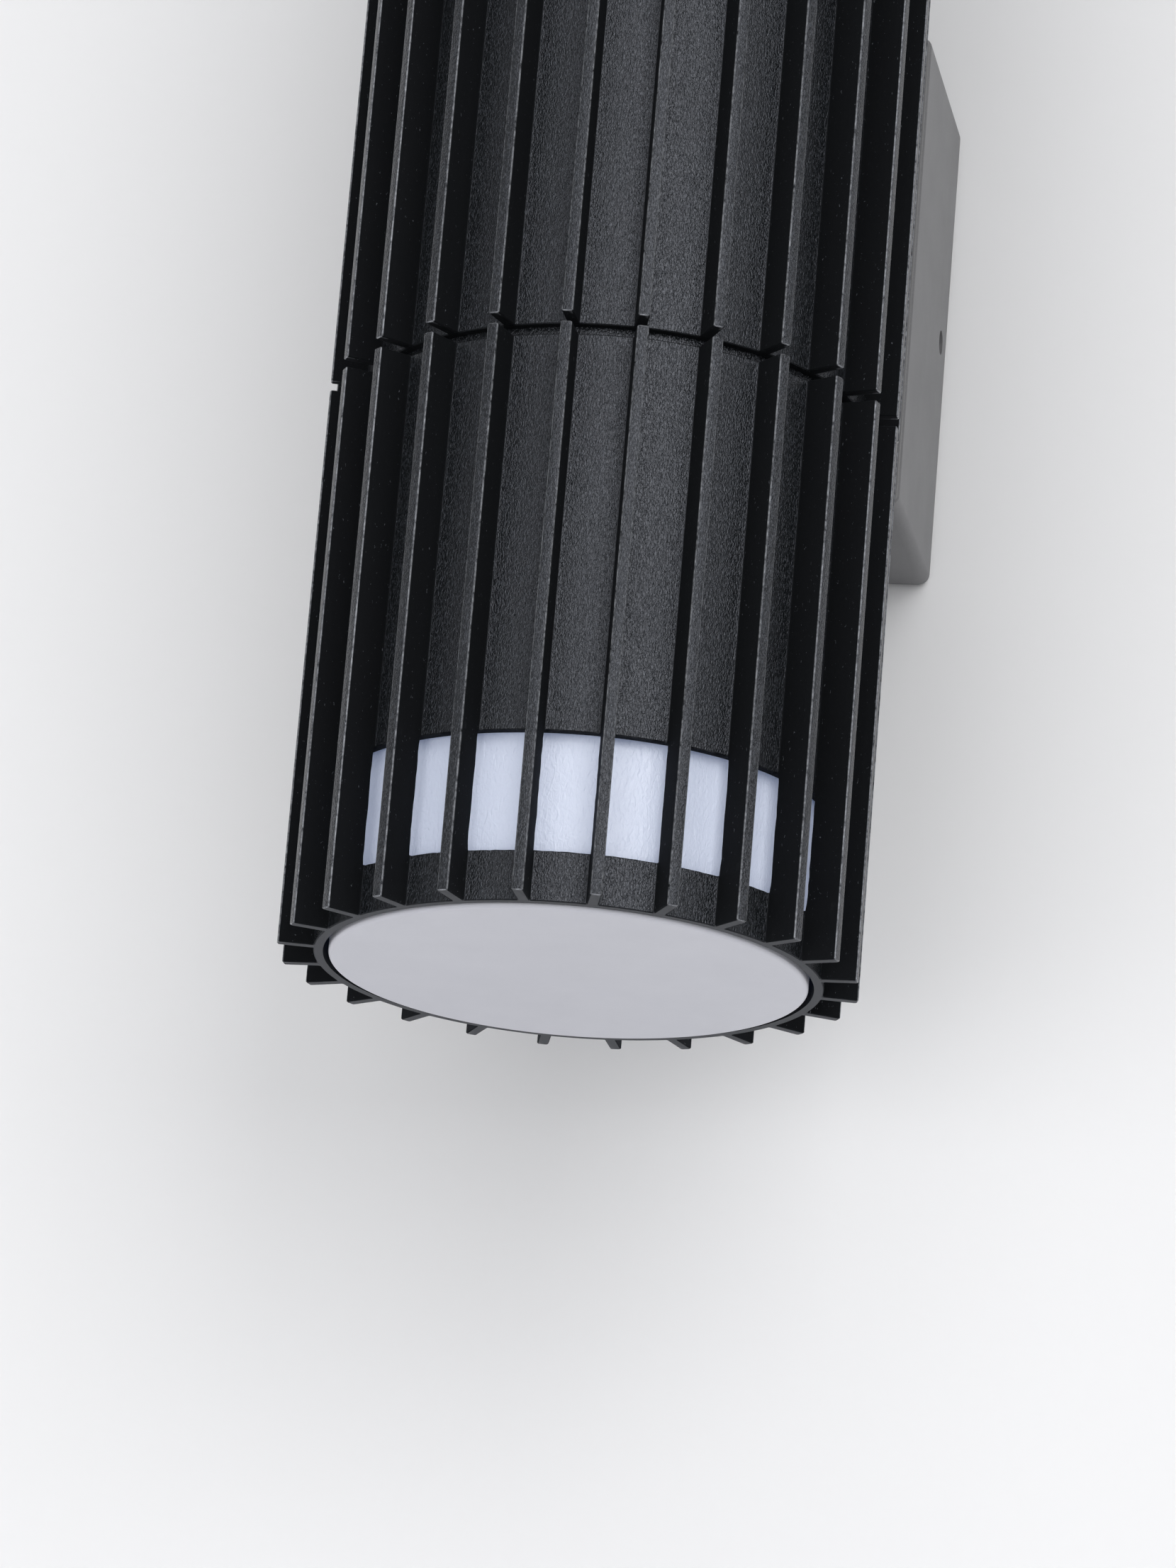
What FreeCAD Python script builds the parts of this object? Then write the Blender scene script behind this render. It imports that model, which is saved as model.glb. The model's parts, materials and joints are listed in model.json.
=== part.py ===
import FreeCAD, Part

import math
import os
import re

import Sketcher

from FreeCAD import Placement, Rotation, Vector

# A tube wall light. A finned aluminium tube shines down and up, and lets light out sideways
# through windows between its fins. A box behind its middle holds it off the wall.
#
# Frame, in millimetres: the origin is on the wall, behind the middle of the box.
# +Z is up, +Y points into the wall, and the tube stands in front, towards -Y.
#
# The lower and the upper head are the same pieces. They are drawn with their open end at
# z = 0 and the middle of the light at +z, and the upper ones are turned over about Y.

SIZES = (
    # finned tube
    ("tube_radius", 50.0, "tube axis to the fin tips"),
    ("fin_depth", 6.25, "fin tip to the wall between two fins"),
    ("fin_width", 2.0, "thickness of a fin"),
    ("fin_count", 24, "fins round the tube"),
    ("fin_root", 0.5, "overlap of a fin with the wall it grows from"),
    ("head_wall", 3.25, "wall of a head between the fins"),
    ("middle_wall", 7.35, "wall of the middle length between the fins"),
    ("head_length", 100.0, "each lit length of tube"),
    ("middle_length", 92.0, "the finned length in front of the box"),
    # seam between two lengths
    ("seam_gap", 1.8, "height of the collar that shows in the seam"),
    ("seam_recess", 1.75, "collar below the wall between the fins"),
    ("spigot_reach", 6.0, "reach of the middle length into a head"),
    ("slide_gap", 0.1, "radial clearance of what slides into a bore"),
    # open end and windows
    ("mouth_wall", 1.65, "wall left at the open end"),
    ("mouth_depth", 42.0, "open end to the shoulder inside"),
    ("window_start", 8.7, "open end to the windows"),
    ("window_height", 20.9, "height of the windows"),
    ("window_break", 0.25, "how far the window groove breaks out of the wall"),
    # diffuser
    ("lens_gap", 0.95, "radial gap between the diffuser and the open end"),
    ("lens_proud", 0.5, "diffuser past the open end"),
    ("lens_floor", 2.5, "thickness of the diffuser's lit face"),
    ("lens_wall", 2.0, "thickness of the diffuser's side"),
    ("lens_bevel", 0.7, "bevel of the diffuser's outer edge"),
    # light-emitting unit
    ("carrier_thickness", 6.0, "thickness of the carrier"),
    ("board_side", 40.0, "side of the square circuit board"),
    ("board_thickness", 1.6, "thickness of a circuit board"),
    ("chip_side", 4.0, "side of a light-emitting chip"),
    ("chip_height", 1.2, "height of a chip"),
    ("chip_circle", 14.0, "radius of the circle of chips"),
    ("chip_count", 12, "chips on a board"),
    # tie bolt, which draws the boards, carriers and lengths of tube together
    ("bolt_radius", 2.45, "radius of the tie bolt"),
    ("bolt_end", 1.0, "bolt past its nut"),
    ("bolt_hexagon", 8.0, "bolt head and nut across the flats"),
    ("nut_height", 4.0, "height of the bolt head and of the nut"),
    ("thread_gap", 0.05, "radial clearance of a thread"),
    ("hole_gap", 0.3, "radial clearance of a screw or lead in a plain hole"),
    # seat of the tube on the box
    ("axis_to_wall", 92.5, "tube axis to the wall"),
    ("seat_cut", 3.0, "depth cut from the rear fins to seat on the box"),
    ("screw_radius", 2.45, "shank of a screw that holds the tube"),
    ("screw_spacing", 60.0, "distance between the two"),
    ("screw_hexagon", 8.0, "its head across the flats"),
    ("screw_head", 3.5, "height of its head"),
    ("clamp_width", 24.0, "width of the clamp plate inside the tube"),
    ("clamp_end", 6.0, "clamp plate past each of the two screws"),
    ("clamp_thickness", 5.0, "thickness of the clamp plate at its middle"),
    # wall box
    ("box_width", 88.0, "width of the box"),
    ("box_height", 91.0, "height of the box"),
    ("box_wall", 2.5, "side walls of the box"),
    ("box_front", 4.0, "front wall of the box"),
    ("box_corner", 2.0, "rounding of the box's corners"),
    ("gasket_thickness", 1.0, "gasket between the box and the wall"),
    ("gasket_inset", 0.3, "gasket inside the box's outline"),
    # wall plate
    ("plate_thickness", 2.0, "sheet of the wall plate"),
    ("plate_height", 80.0, "height of the wall plate"),
    ("plate_gap", 0.3, "tab to the inside of the box"),
    ("tab_width", 20.0, "width of a tab"),
    ("tab_reach", 14.0, "wall to the end of a tab"),
    ("bend_radius", 1.5, "inner radius of a tab's bend"),
    ("slot_spacing", 60.0, "distance between the wall slots"),
    ("slot_length", 10.0, "slot from end to end"),
    ("slot_width", 4.5, "width of a slot"),
    ("entry_radius", 15.0, "radius of the cable entry"),
    # side screws of the box
    ("side_screw_inset", 7.5, "wall to the side screws"),
    ("side_hole_radius", 2.3, "radius of the box's side holes"),
    ("grub_radius", 1.95, "radius of a side screw"),
    ("grub_length", 6.0, "length of a side screw"),
    ("grub_recess", 1.0, "side screw below the face of the box"),
    ("grub_socket", 2.0, "its hexagon socket across the flats"),
    # driver, on the clamp plate inside the tube
    ("driver_width", 34.0, "width of the driver"),
    ("driver_height", 70.0, "height of the driver"),
    ("driver_depth", 22.0, "depth of the driver"),
    ("driver_round", 1.5, "rounding of the driver's long edges"),
    # terminal block, on the front wall of the box
    ("block_width", 26.0, "width of the block"),
    ("block_height", 22.0, "height of the block"),
    ("block_depth", 16.0, "depth of the block"),
    ("pole_pitch", 6.5, "distance between two poles"),
    ("pole_hole", 3.4, "side of a pole's square wire hole"),
    ("pole_depth", 6.0, "depth of a wire hole"),
    ("lever_length", 9.0, "slot of a pole's lever"),
    ("lever_width", 4.0, "width of the slot"),
    ("lever_depth", 2.5, "depth of the slot"),
    ("pole_lift", 8.0, "wire holes above the box's front wall"),
    ("sleeve_radius", 5.0, "sleeve of the block, through the walls of box and tube"),
    ("sleeve_gap", 0.7, "end of the sleeve to the clamp plate"),
    # leads
    ("lead_radius", 2.2, "radius of a lead"),
    ("lead_gap", 0.1, "radial clearance of the supply lead in the sleeve"),
    ("lead_entry", 8.0, "supply lead inside the terminal block"),
    ("lead_back", 23.0, "tube axis to the leads of the boards"),
)

BODY_RADIUS = "(tube_radius - fin_depth)"
HEAD_BORE = f"({BODY_RADIUS} - head_wall)"
MIDDLE_BORE = f"({BODY_RADIUS} - middle_wall)"
MOUTH_RADIUS = f"({BODY_RADIUS} - mouth_wall)"
WINDOW_RADIUS = f"({BODY_RADIUS} + window_break)"
COLLAR_RADIUS = f"({BODY_RADIUS} - seam_recess)"
SPIGOT_RADIUS = f"({HEAD_BORE} - slide_gap)"
LENS_RADIUS = f"({MOUTH_RADIUS} - lens_gap)"
LENS_INNER = f"({LENS_RADIUS} - lens_wall)"
SADDLE_RADIUS = f"({MIDDLE_BORE} - slide_gap)"
CLAMP_FACE = f"({SADDLE_RADIUS} - clamp_thickness)"
SEAT_RADIUS = "(tube_radius - seat_cut)"
SLEEVE_HOLE = "(sleeve_radius + hole_gap)"

# heights inside a head, from its open end
CARRIER_FACE = "(mouth_depth - carrier_thickness)"
BOARD_FACE = f"({CARRIER_FACE} - board_thickness)"
BOLT_TIP = f"({BOARD_FACE} - nut_height - bolt_end)"

# height of the whole light, from the middle of the box
HALF_LENGTH = "(middle_length / 2 + seam_gap + head_length)"

# distances from the wall
BOX_FACE = f"(axis_to_wall - {SEAT_RADIUS})"
BOX_INSIDE = f"({BOX_FACE} - box_front)"
BOX_DEPTH = f"({BOX_FACE} - gasket_thickness)"

# distances from the middle of the box
TAB_OUTSIDE = "(box_width / 2 - box_wall - plate_gap)"
TAB_INSIDE = f"({TAB_OUTSIDE} - plate_thickness)"
PLATE_EDGE = f"({TAB_INSIDE} - bend_radius)"

doc = FreeCAD.newDocument("tube_wall_light")
sheet = doc.addObject("Spreadsheet::Sheet", "Sizes")
NAMES = [name for name, _, _ in SIZES]
nodes = []
volumes = {}
TOUCHING = 1e-6


def fill_sheet():
    """Write each driving size into a row of the sheet, under its own name."""
    for row, (name, number, meaning) in enumerate(SIZES, start=1):
        sheet.set(f"A{row}", meaning)
        sheet.set(f"B{row}", str(number))
        sheet.setAlias(f"B{row}", name)
    doc.recompute()


def expand(formula):
    """Put the sheet's name before every size in a formula."""
    def prefixed(match):
        word = match.group()
        return f"Sizes.{word}" if word in NAMES else word
    return re.sub(r"[a-z_]+", prefixed, formula)


def value(formula):
    """Work a formula out as a plain number."""
    return float(sheet.evalExpression(expand(formula)))


def point(x, y, z):
    """A place in space from three formulas."""
    return Vector(value(x), value(y), value(z))


def bind(item, prop, formula):
    """Let a formula drive a property."""
    item.setExpression(prop, expand(formula))


def place(item, x="0", y="0", z="0", turned_over=False):
    """Put a piece at its place in the light, for a head's upper twin turned over about Y."""
    turn = Rotation(Vector(0, 1, 0), 180) if turned_over else Rotation()
    item.Placement = Placement(point(x, y, z), turn)
    bind(item, ".Placement.Base.x", x)
    bind(item, ".Placement.Base.y", y)
    bind(item, ".Placement.Base.z", z)


def add_body(label, several=False):
    """Start a piece, or a group of separate like pieces."""
    body = doc.addObject("PartDesign::Body", label)
    body.Label = label
    body.AllowCompound = several
    nodes.append(body)
    return body


def origin_item(body, role):
    """One of a body's own origin planes or axes."""
    return next(item for item in body.Origin.OriginFeatures if item.Role == role)


def add_sketch(body, name, role="XY_Plane", offset="0"):
    """Start a sketch on an origin plane, moved along the plane's normal by an offset."""
    sketch = body.newObject("Sketcher::SketchObject", f"{body.Label}_{name}_sketch")
    sketch.AttachmentSupport = (origin_item(body, role), [""])
    sketch.MapMode = "FlatFace"
    if offset != "0":
        bind(sketch, ".AttachmentOffset.Base.z", offset)
    return sketch


def add_piece(sketch, shape):
    """Add a line or an arc that counts as part of the outline."""
    return sketch.addGeometry(shape, False)


def add_line(sketch, start, end):
    """Add a straight line between two places."""
    return add_piece(sketch, Part.LineSegment(Vector(*start, 0), Vector(*end, 0)))


def join(sketch, kind, one, one_end, other, other_end):
    """Join the ends of two pieces of an outline, plainly or as tangents."""
    sketch.addConstraint(Sketcher.Constraint(kind, one, one_end, other, other_end))


def pin(sketch, kind, formula, *where):
    """Add a driving dimension to a sketch, bound to a formula."""
    index = sketch.addConstraint(Sketcher.Constraint(kind, *where, value(formula)))
    name = f"{kind.lower()}_{index}"
    sketch.renameConstraint(index, name)
    bind(sketch, f"Constraints.{name}", formula)


def pin_point(sketch, geometry, end, x, y):
    """Hold a point of a sketch at a place, on an axis where its formula is 0."""
    for kind, axis, formula in (("DistanceX", -2, x), ("DistanceY", -1, y)):
        if formula == "0":
            sketch.addConstraint(Sketcher.Constraint("PointOnObject", geometry, end, axis))
        else:
            pin(sketch, kind, formula, geometry, end)


def add_outline(sketch, corners):
    """Draw a closed outline of straight lines through corners given as formulas."""
    places = [Vector(value(x), value(y), 0) for x, y in corners]
    first = sketch.GeometryCount
    for start, end in zip(places, places[1:] + places[:1]):
        sketch.addGeometry(Part.LineSegment(start, end), False)
    last = sketch.GeometryCount - 1
    for line in range(first, last):
        sketch.addConstraint(Sketcher.Constraint("Coincident", line, 2, line + 1, 1))
    sketch.addConstraint(Sketcher.Constraint("Coincident", last, 2, first, 1))
    for line, (x, y) in enumerate(corners, start=first):
        pin_point(sketch, line, 1, x, y)


def add_rectangle(sketch, left, right, bottom, top):
    """Draw a rectangle from the places of its four sides."""
    corners = [(left, bottom), (right, bottom), (right, top), (left, top)]
    places = [Vector(value(x), value(y), 0) for x, y in corners]
    first = sketch.GeometryCount
    for start, end in zip(places, places[1:] + places[:1]):
        sketch.addGeometry(Part.LineSegment(start, end), False)
    for side in range(4):
        following = (side + 1) % 4
        joint = Sketcher.Constraint("Coincident", first + side, 2, first + following, 1)
        sketch.addConstraint(joint)
        level = "Vertical" if side % 2 else "Horizontal"
        sketch.addConstraint(Sketcher.Constraint(level, first + side))
    pin_point(sketch, first, 1, left, bottom)
    pin_point(sketch, first + 2, 1, right, top)


def add_circle(sketch, radius, x="0", y="0"):
    """Draw a circle about a place."""
    centre = Vector(value(x), value(y), 0)
    circle = sketch.addGeometry(Part.Circle(centre, Vector(0, 0, 1), value(radius)), False)
    pin_point(sketch, circle, 3, x, y)
    pin(sketch, "Radius", radius, circle)


def add_hexagon(sketch, width, x="0", y="0"):
    """Draw a hexagon from its width across the flats."""
    corner = f"({width}) / sqrt(3)"
    flat = f"({width}) / 2"
    add_outline(sketch, [
        (f"{x} + {corner}", y),
        (f"{x} + {corner} / 2", f"{y} + {flat}"),
        (f"{x} - {corner} / 2", f"{y} + {flat}"),
        (f"{x} - {corner}", y),
        (f"{x} - {corner} / 2", f"{y} - {flat}"),
        (f"{x} + {corner} / 2", f"{y} - {flat}"),
    ])


def add_slot(sketch, x, length, width):
    """Draw a level slot with round ends about a place on the sketch's first axis."""
    reach = f"({length} - {width}) / 2"
    radius = value(f"{width} / 2")
    left = value(f"{x} - {reach}")
    right = value(f"{x} + {reach}")
    quarter = math.pi / 2
    normal = Vector(0, 0, 1)
    near = Part.Circle(Vector(left, 0, 0), normal, radius)
    far = Part.Circle(Vector(right, 0, 0), normal, radius)
    near_end = sketch.addGeometry(Part.ArcOfCircle(near, quarter, 3 * quarter), False)
    bottom = sketch.addGeometry(
        Part.LineSegment(Vector(left, -radius, 0), Vector(right, -radius, 0)), False)
    far_end = sketch.addGeometry(Part.ArcOfCircle(far, -quarter, quarter), False)
    top = sketch.addGeometry(
        Part.LineSegment(Vector(right, radius, 0), Vector(left, radius, 0)), False)
    for one, one_end, other, other_end in (
        (near_end, 2, bottom, 1),
        (bottom, 2, far_end, 1),
        (far_end, 2, top, 1),
        (top, 2, near_end, 1),
    ):
        sketch.addConstraint(Sketcher.Constraint("Tangent", one, one_end, other, other_end))
    pin_point(sketch, near_end, 3, f"{x} - {reach}", "0")
    pin_point(sketch, far_end, 3, f"{x} + {reach}", "0")
    pin(sketch, "Radius", f"{width} / 2", near_end)


def add_rounded_rectangle(sketch, width, height, radius):
    """Draw a rectangle with round corners about the sketch's origin."""
    half_width = value(f"({width}) / 2")
    half_height = value(f"({height}) / 2")
    corner = value(radius)
    quarter = math.pi / 2
    normal = Vector(0, 0, 1)
    first = sketch.GeometryCount
    for turn, (across, up) in enumerate(((1, 1), (-1, 1), (-1, -1), (1, -1))):
        centre = Vector(across * (half_width - corner), up * (half_height - corner), 0)
        circle = Part.Circle(centre, normal, corner)
        arc = Part.ArcOfCircle(circle, turn * quarter, (turn + 1) * quarter)
        sketch.addGeometry(arc, False)
    arcs = [sketch.Geometry[first + turn] for turn in range(4)]
    for arc, following in zip(arcs, arcs[1:] + arcs[:1]):
        sketch.addGeometry(Part.LineSegment(arc.EndPoint, following.StartPoint), False)
    for turn in range(4):
        arc = first + turn
        line = first + 4 + turn
        following = first + (turn + 1) % 4
        sketch.addConstraint(Sketcher.Constraint("Tangent", arc, 2, line, 1))
        sketch.addConstraint(Sketcher.Constraint("Tangent", line, 2, following, 1))
        level = "Vertical" if turn % 2 else "Horizontal"
        sketch.addConstraint(Sketcher.Constraint(level, line))
        if turn:
            sketch.addConstraint(Sketcher.Constraint("Equal", first, arc))
    right = f"({width}) / 2 - {radius}"
    top = f"({height}) / 2 - {radius}"
    pin_point(sketch, first, 3, right, top)
    pin_point(sketch, first + 2, 3, f"-({right})", f"-({top})")
    pin(sketch, "Radius", radius, first)


def finish_feature(body, feature, cuts):
    """Recompute a feature, and see that it added to or cut from its piece."""
    doc.recompute()
    change = feature.Shape.Volume - volumes.get(body.Name, 0.0)
    if change == 0 or (change < 0) != cuts:
        raise RuntimeError(f"{feature.Name} changed the volume by {change:.3f}")
    volumes[body.Name] = feature.Shape.Volume
    return feature


def add_straight(kind, body, sketch, length, reverse, side):
    """Make a pad or a pocket of a sketch, by its length and direction."""
    feature = body.newObject(f"PartDesign::{kind}", sketch.Name.replace("sketch", kind.lower()))
    feature.Profile = sketch
    feature.SideType = side
    feature.Reversed = reverse
    bind(feature, "Length", length)
    return finish_feature(body, feature, cuts=kind == "Pocket")


def add_pad(body, sketch, length, reverse=False, side="One side"):
    """Add material from a sketch, along its normal unless reversed."""
    return add_straight("Pad", body, sketch, length, reverse, side)


def add_pocket(body, sketch, length, reverse=False, side="One side"):
    """Cut from a sketch, against its normal unless reversed."""
    return add_straight("Pocket", body, sketch, length, reverse, side)


def add_turned(kind, body, sketch, axis="Z_Axis"):
    """Make a revolution or a groove of a sketch, once round an axis."""
    feature = body.newObject(f"PartDesign::{kind}", sketch.Name.replace("sketch", kind.lower()))
    feature.Profile = sketch
    feature.ReferenceAxis = (origin_item(body, axis), [""])
    feature.Angle = 360
    return finish_feature(body, feature, cuts=kind == "Groove")


def add_ring_of(body, originals, count):
    """Repeat features evenly round the Z axis."""
    pattern = body.newObject("PartDesign::PolarPattern", f"{originals[-1].Name}_pattern")
    pattern.Originals = originals
    pattern.Axis = (origin_item(body, "Z_Axis"), [""])
    pattern.Angle = 360
    bind(pattern, "Occurrences", count)
    body.Tip = pattern
    return finish_feature(body, pattern, cuts=False)


def add_mirror(body, originals, role):
    """Repeat features on the other side of an origin plane."""
    mirror = body.newObject("PartDesign::Mirrored", f"{originals[-1].Name}_mirror")
    mirror.Originals = originals
    mirror.MirrorPlane = (origin_item(body, role), [""])
    body.Tip = mirror
    return finish_feature(body, mirror, cuts=False)


def add_fillet(body, base, radius, wanted):
    """Round the edges of a feature that a test picks out."""
    edges = [f"Edge{i}" for i, edge in enumerate(base.Shape.Edges, start=1) if wanted(edge)]
    fillet = body.newObject("PartDesign::Fillet", f"{base.Name}_fillet")
    fillet.Base = (base, edges)
    bind(fillet, "Radius", radius)
    return finish_feature(body, fillet, cuts=True)


def place_on_axis(body):
    """Put a piece on the tube's axis, at the middle of the light."""
    place(body, y="-axis_to_wall")


def place_in_head(body, turned_over):
    """Put a piece of a head at the lower end of the tube, or at the upper one."""
    height = HALF_LENGTH if turned_over else f"-{HALF_LENGTH}"
    place(body, y="-axis_to_wall", z=height, turned_over=turned_over)


def add_finned_length(body, bore, length, side):
    """Draw a length of the finned tube: a wall, and fins evenly round it."""
    wall = add_sketch(body, "wall")
    add_circle(wall, BODY_RADIUS)
    add_circle(wall, bore)
    add_pad(body, wall, length, side=side)
    fin = add_sketch(body, "fin")
    root = f"-({BODY_RADIUS} - fin_root)"
    add_rectangle(fin, "-fin_width / 2", "fin_width / 2", "-tube_radius", root)
    blade = add_pad(body, fin, length, side=side)
    add_ring_of(body, [blade], "fin_count")


def make_head_tube(label, turned_over):
    """A lit length of tube. A groove turned inside it is wider than its wall, so it breaks
    out between the fins, which then cross the opening as bars: that makes the windows."""
    body = add_body(label)
    add_finned_length(body, HEAD_BORE, "head_length", "One side")
    mouth = add_sketch(body, "mouth")
    add_circle(mouth, MOUTH_RADIUS)
    add_pocket(body, mouth, "mouth_depth", reverse=True)
    windows = add_sketch(body, "windows", "XZ_Plane")
    window_end = "window_start + window_height"
    add_rectangle(windows, HEAD_BORE, WINDOW_RADIUS, "window_start", window_end)
    add_turned("Groove", body, windows)
    place_in_head(body, turned_over)


def make_middle_tube():
    """The length in front of the box. Each end is turned down to a collar, which shows in
    the seam, and a spigot, which centres the head. The rear fins are cut flat for the box."""
    body = add_body("middle_tube")
    add_finned_length(body, MIDDLE_BORE, "middle_length", "Symmetric")
    end = add_sketch(body, "end", "XZ_Plane")
    collar = "(middle_length / 2 + seam_gap)"
    spigot = f"{collar} + spigot_reach"
    add_outline(end, [
        (MIDDLE_BORE, "middle_length / 2"),
        (COLLAR_RADIUS, "middle_length / 2"),
        (COLLAR_RADIUS, collar),
        (SPIGOT_RADIUS, collar),
        (SPIGOT_RADIUS, spigot),
        (MIDDLE_BORE, spigot),
    ])
    turned = add_turned("Revolution", body, end)
    add_mirror(body, [turned], "XY_Plane")
    seat = add_sketch(body, "seat")
    add_rectangle(seat, "-tube_radius", "tube_radius", SEAT_RADIUS, "tube_radius + seat_cut")
    add_pocket(body, seat, "middle_length", side="Symmetric")
    holes = add_sketch(body, "holes", "XZ_Plane")
    add_circle(holes, SLEEVE_HOLE)
    add_screw_holes(holes, "hole_gap")
    add_pocket(body, holes, "tube_radius")
    place_on_axis(body)


def add_screw_holes(sketch, gap):
    """Draw the holes of the two screws that hold the tube, with a radial gap."""
    for height in ("screw_spacing / 2", "-screw_spacing / 2"):
        add_circle(sketch, f"screw_radius + {gap}", "0", height)


def make_diffuser(label, turned_over):
    """An opal cup that lights the end of the tube and the windows."""
    body = add_body(label)
    profile = add_sketch(body, "profile", "XZ_Plane")
    add_outline(profile, [
        ("0", "-lens_proud"),
        (f"{LENS_RADIUS} - lens_bevel", "-lens_proud"),
        (LENS_RADIUS, "lens_bevel - lens_proud"),
        (LENS_RADIUS, CARRIER_FACE),
        (LENS_INNER, CARRIER_FACE),
        (LENS_INNER, "lens_floor - lens_proud"),
        ("0", "lens_floor - lens_proud"),
    ])
    add_turned("Revolution", body, profile)
    place_in_head(body, turned_over)


def make_led_carrier(label, turned_over):
    """A disc that carries the board, cools it, and bears on the tube's shoulder."""
    body = add_body(label)
    disc = add_sketch(body, "disc", offset=CARRIER_FACE)
    add_circle(disc, f"{MOUTH_RADIUS} - slide_gap")
    add_circle(disc, "bolt_radius + hole_gap")
    add_circle(disc, "lead_radius + hole_gap", "0", "lead_back")
    add_pad(body, disc, "carrier_thickness")
    place_in_head(body, turned_over)


def make_led_board(label, turned_over):
    """The square circuit board, flat on the carrier."""
    body = add_body(label)
    square = add_sketch(body, "square", offset=BOARD_FACE)
    half = "board_side / 2"
    add_rectangle(square, f"-{half}", half, f"-{half}", half)
    add_circle(square, "bolt_radius + hole_gap")
    add_pad(body, square, "board_thickness")
    place_in_head(body, turned_over)


def make_led_chips(label, turned_over):
    """The light-emitting chips, in a circle on the board."""
    body = add_body(label, several=True)
    square = add_sketch(body, "square", offset=BOARD_FACE)
    half = "chip_side / 2"
    add_rectangle(square, f"-{half}", half, f"chip_circle - {half}", f"chip_circle + {half}")
    chip = add_pad(body, square, "chip_height", reverse=True)
    add_ring_of(body, [chip], "chip_count")
    place_in_head(body, turned_over)


def make_tie_bolt():
    """The long bolt through both carriers. It clamps all the lengths of tube together, and
    its head and nut bear on the boards."""
    body = add_body("tie_bolt")
    section = add_sketch(body, "section", offset=BOARD_FACE)
    add_circle(section, "bolt_radius")
    add_pad(body, section, f"2 * {HALF_LENGTH} - {BOARD_FACE} - {BOLT_TIP}")
    hexagon = add_sketch(body, "hexagon", offset=BOARD_FACE)
    add_hexagon(hexagon, "bolt_hexagon")
    add_pad(body, hexagon, "nut_height", reverse=True)
    place_in_head(body, turned_over=False)


def make_tie_nut():
    """The nut on the upper end of the tie bolt."""
    body = add_body("tie_nut")
    hexagon = add_sketch(body, "hexagon", offset=BOARD_FACE)
    add_hexagon(hexagon, "bolt_hexagon")
    add_circle(hexagon, "bolt_radius + thread_gap")
    add_pad(body, hexagon, "nut_height", reverse=True)
    place_in_head(body, turned_over=True)


def make_clamp_plate():
    """A saddle inside the tube, with the threads for the screws from the box."""
    body = add_body("clamp_plate")
    section = add_sketch(body, "section")
    saddle = value(SADDLE_RADIUS)
    half = value("clamp_width / 2")
    front = value(CLAMP_FACE)
    rise = math.sqrt(saddle ** 2 - half ** 2)
    corner = math.atan2(rise, half)
    circle = Part.Circle(Vector(0, 0, 0), Vector(0, 0, 1), saddle)
    arc = add_piece(section, Part.ArcOfCircle(circle, corner, math.pi - corner))
    left = add_line(section, (-half, rise), (-half, front))
    face = add_line(section, (-half, front), (half, front))
    right = add_line(section, (half, front), (half, rise))
    join(section, "Coincident", arc, 2, left, 1)
    join(section, "Coincident", left, 2, face, 1)
    join(section, "Coincident", face, 2, right, 1)
    join(section, "Coincident", right, 2, arc, 1)
    join(section, "Coincident", arc, 3, -1, 1)
    section.addConstraint(Sketcher.Constraint("Vertical", left))
    section.addConstraint(Sketcher.Constraint("Vertical", right))
    pin(section, "Radius", SADDLE_RADIUS, arc)
    pin_point(section, face, 1, "-clamp_width / 2", CLAMP_FACE)
    pin_point(section, face, 2, "clamp_width / 2", CLAMP_FACE)
    add_pad(body, section, "screw_spacing + 2 * clamp_end", side="Symmetric")
    holes = add_sketch(body, "holes", "XZ_Plane")
    add_circle(holes, "lead_radius + hole_gap")
    add_screw_holes(holes, "thread_gap")
    add_pocket(body, holes, BODY_RADIUS)
    place_on_axis(body)


def make_driver():
    """The driver, flat on the clamp plate."""
    body = add_body("led_driver")
    case = add_sketch(body, "case", "XZ_Plane")
    half = "driver_width / 2"
    add_rectangle(case, f"-{half}", half, "-driver_height / 2", "driver_height / 2")
    block = add_pad(body, case, "driver_depth")
    back = -value("driver_depth")
    add_fillet(body, block, "driver_round", lambda edge: is_along_z_at(edge, back))
    place(body, y=f"{CLAMP_FACE} - axis_to_wall")


def is_along_z_at(edge, depth):
    """Whether an edge runs along Z at a depth along Y."""
    upright = edge.BoundBox.XLength < TOUCHING and edge.BoundBox.YLength < TOUCHING
    return upright and abs(edge.BoundBox.YMin - depth) < TOUCHING


def make_tube_screws():
    """The two hexagon screws through the box and the tube into the clamp plate."""
    body = add_body("tube_screws", several=True)
    height = "screw_spacing / 2"
    head = add_sketch(body, "head", "XZ_Plane")
    add_hexagon(head, "screw_hexagon", "0", height)
    shank = add_sketch(body, "shank", "XZ_Plane")
    add_circle(shank, "screw_radius", "0", height)
    parts = [
        add_pad(body, head, "screw_head", reverse=True),
        add_pad(body, shank, f"box_front + {SEAT_RADIUS} - {CLAMP_FACE} - hole_gap"),
    ]
    add_mirror(body, parts, "XY_Plane")
    place(body, y=f"-{BOX_INSIDE}")


def add_box_inside(sketch):
    """Draw the inside of the box."""
    across = "(box_width / 2 - box_wall)"
    up = "(box_height / 2 - box_wall)"
    add_rectangle(sketch, f"-{across}", across, f"-{up}", up)


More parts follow.
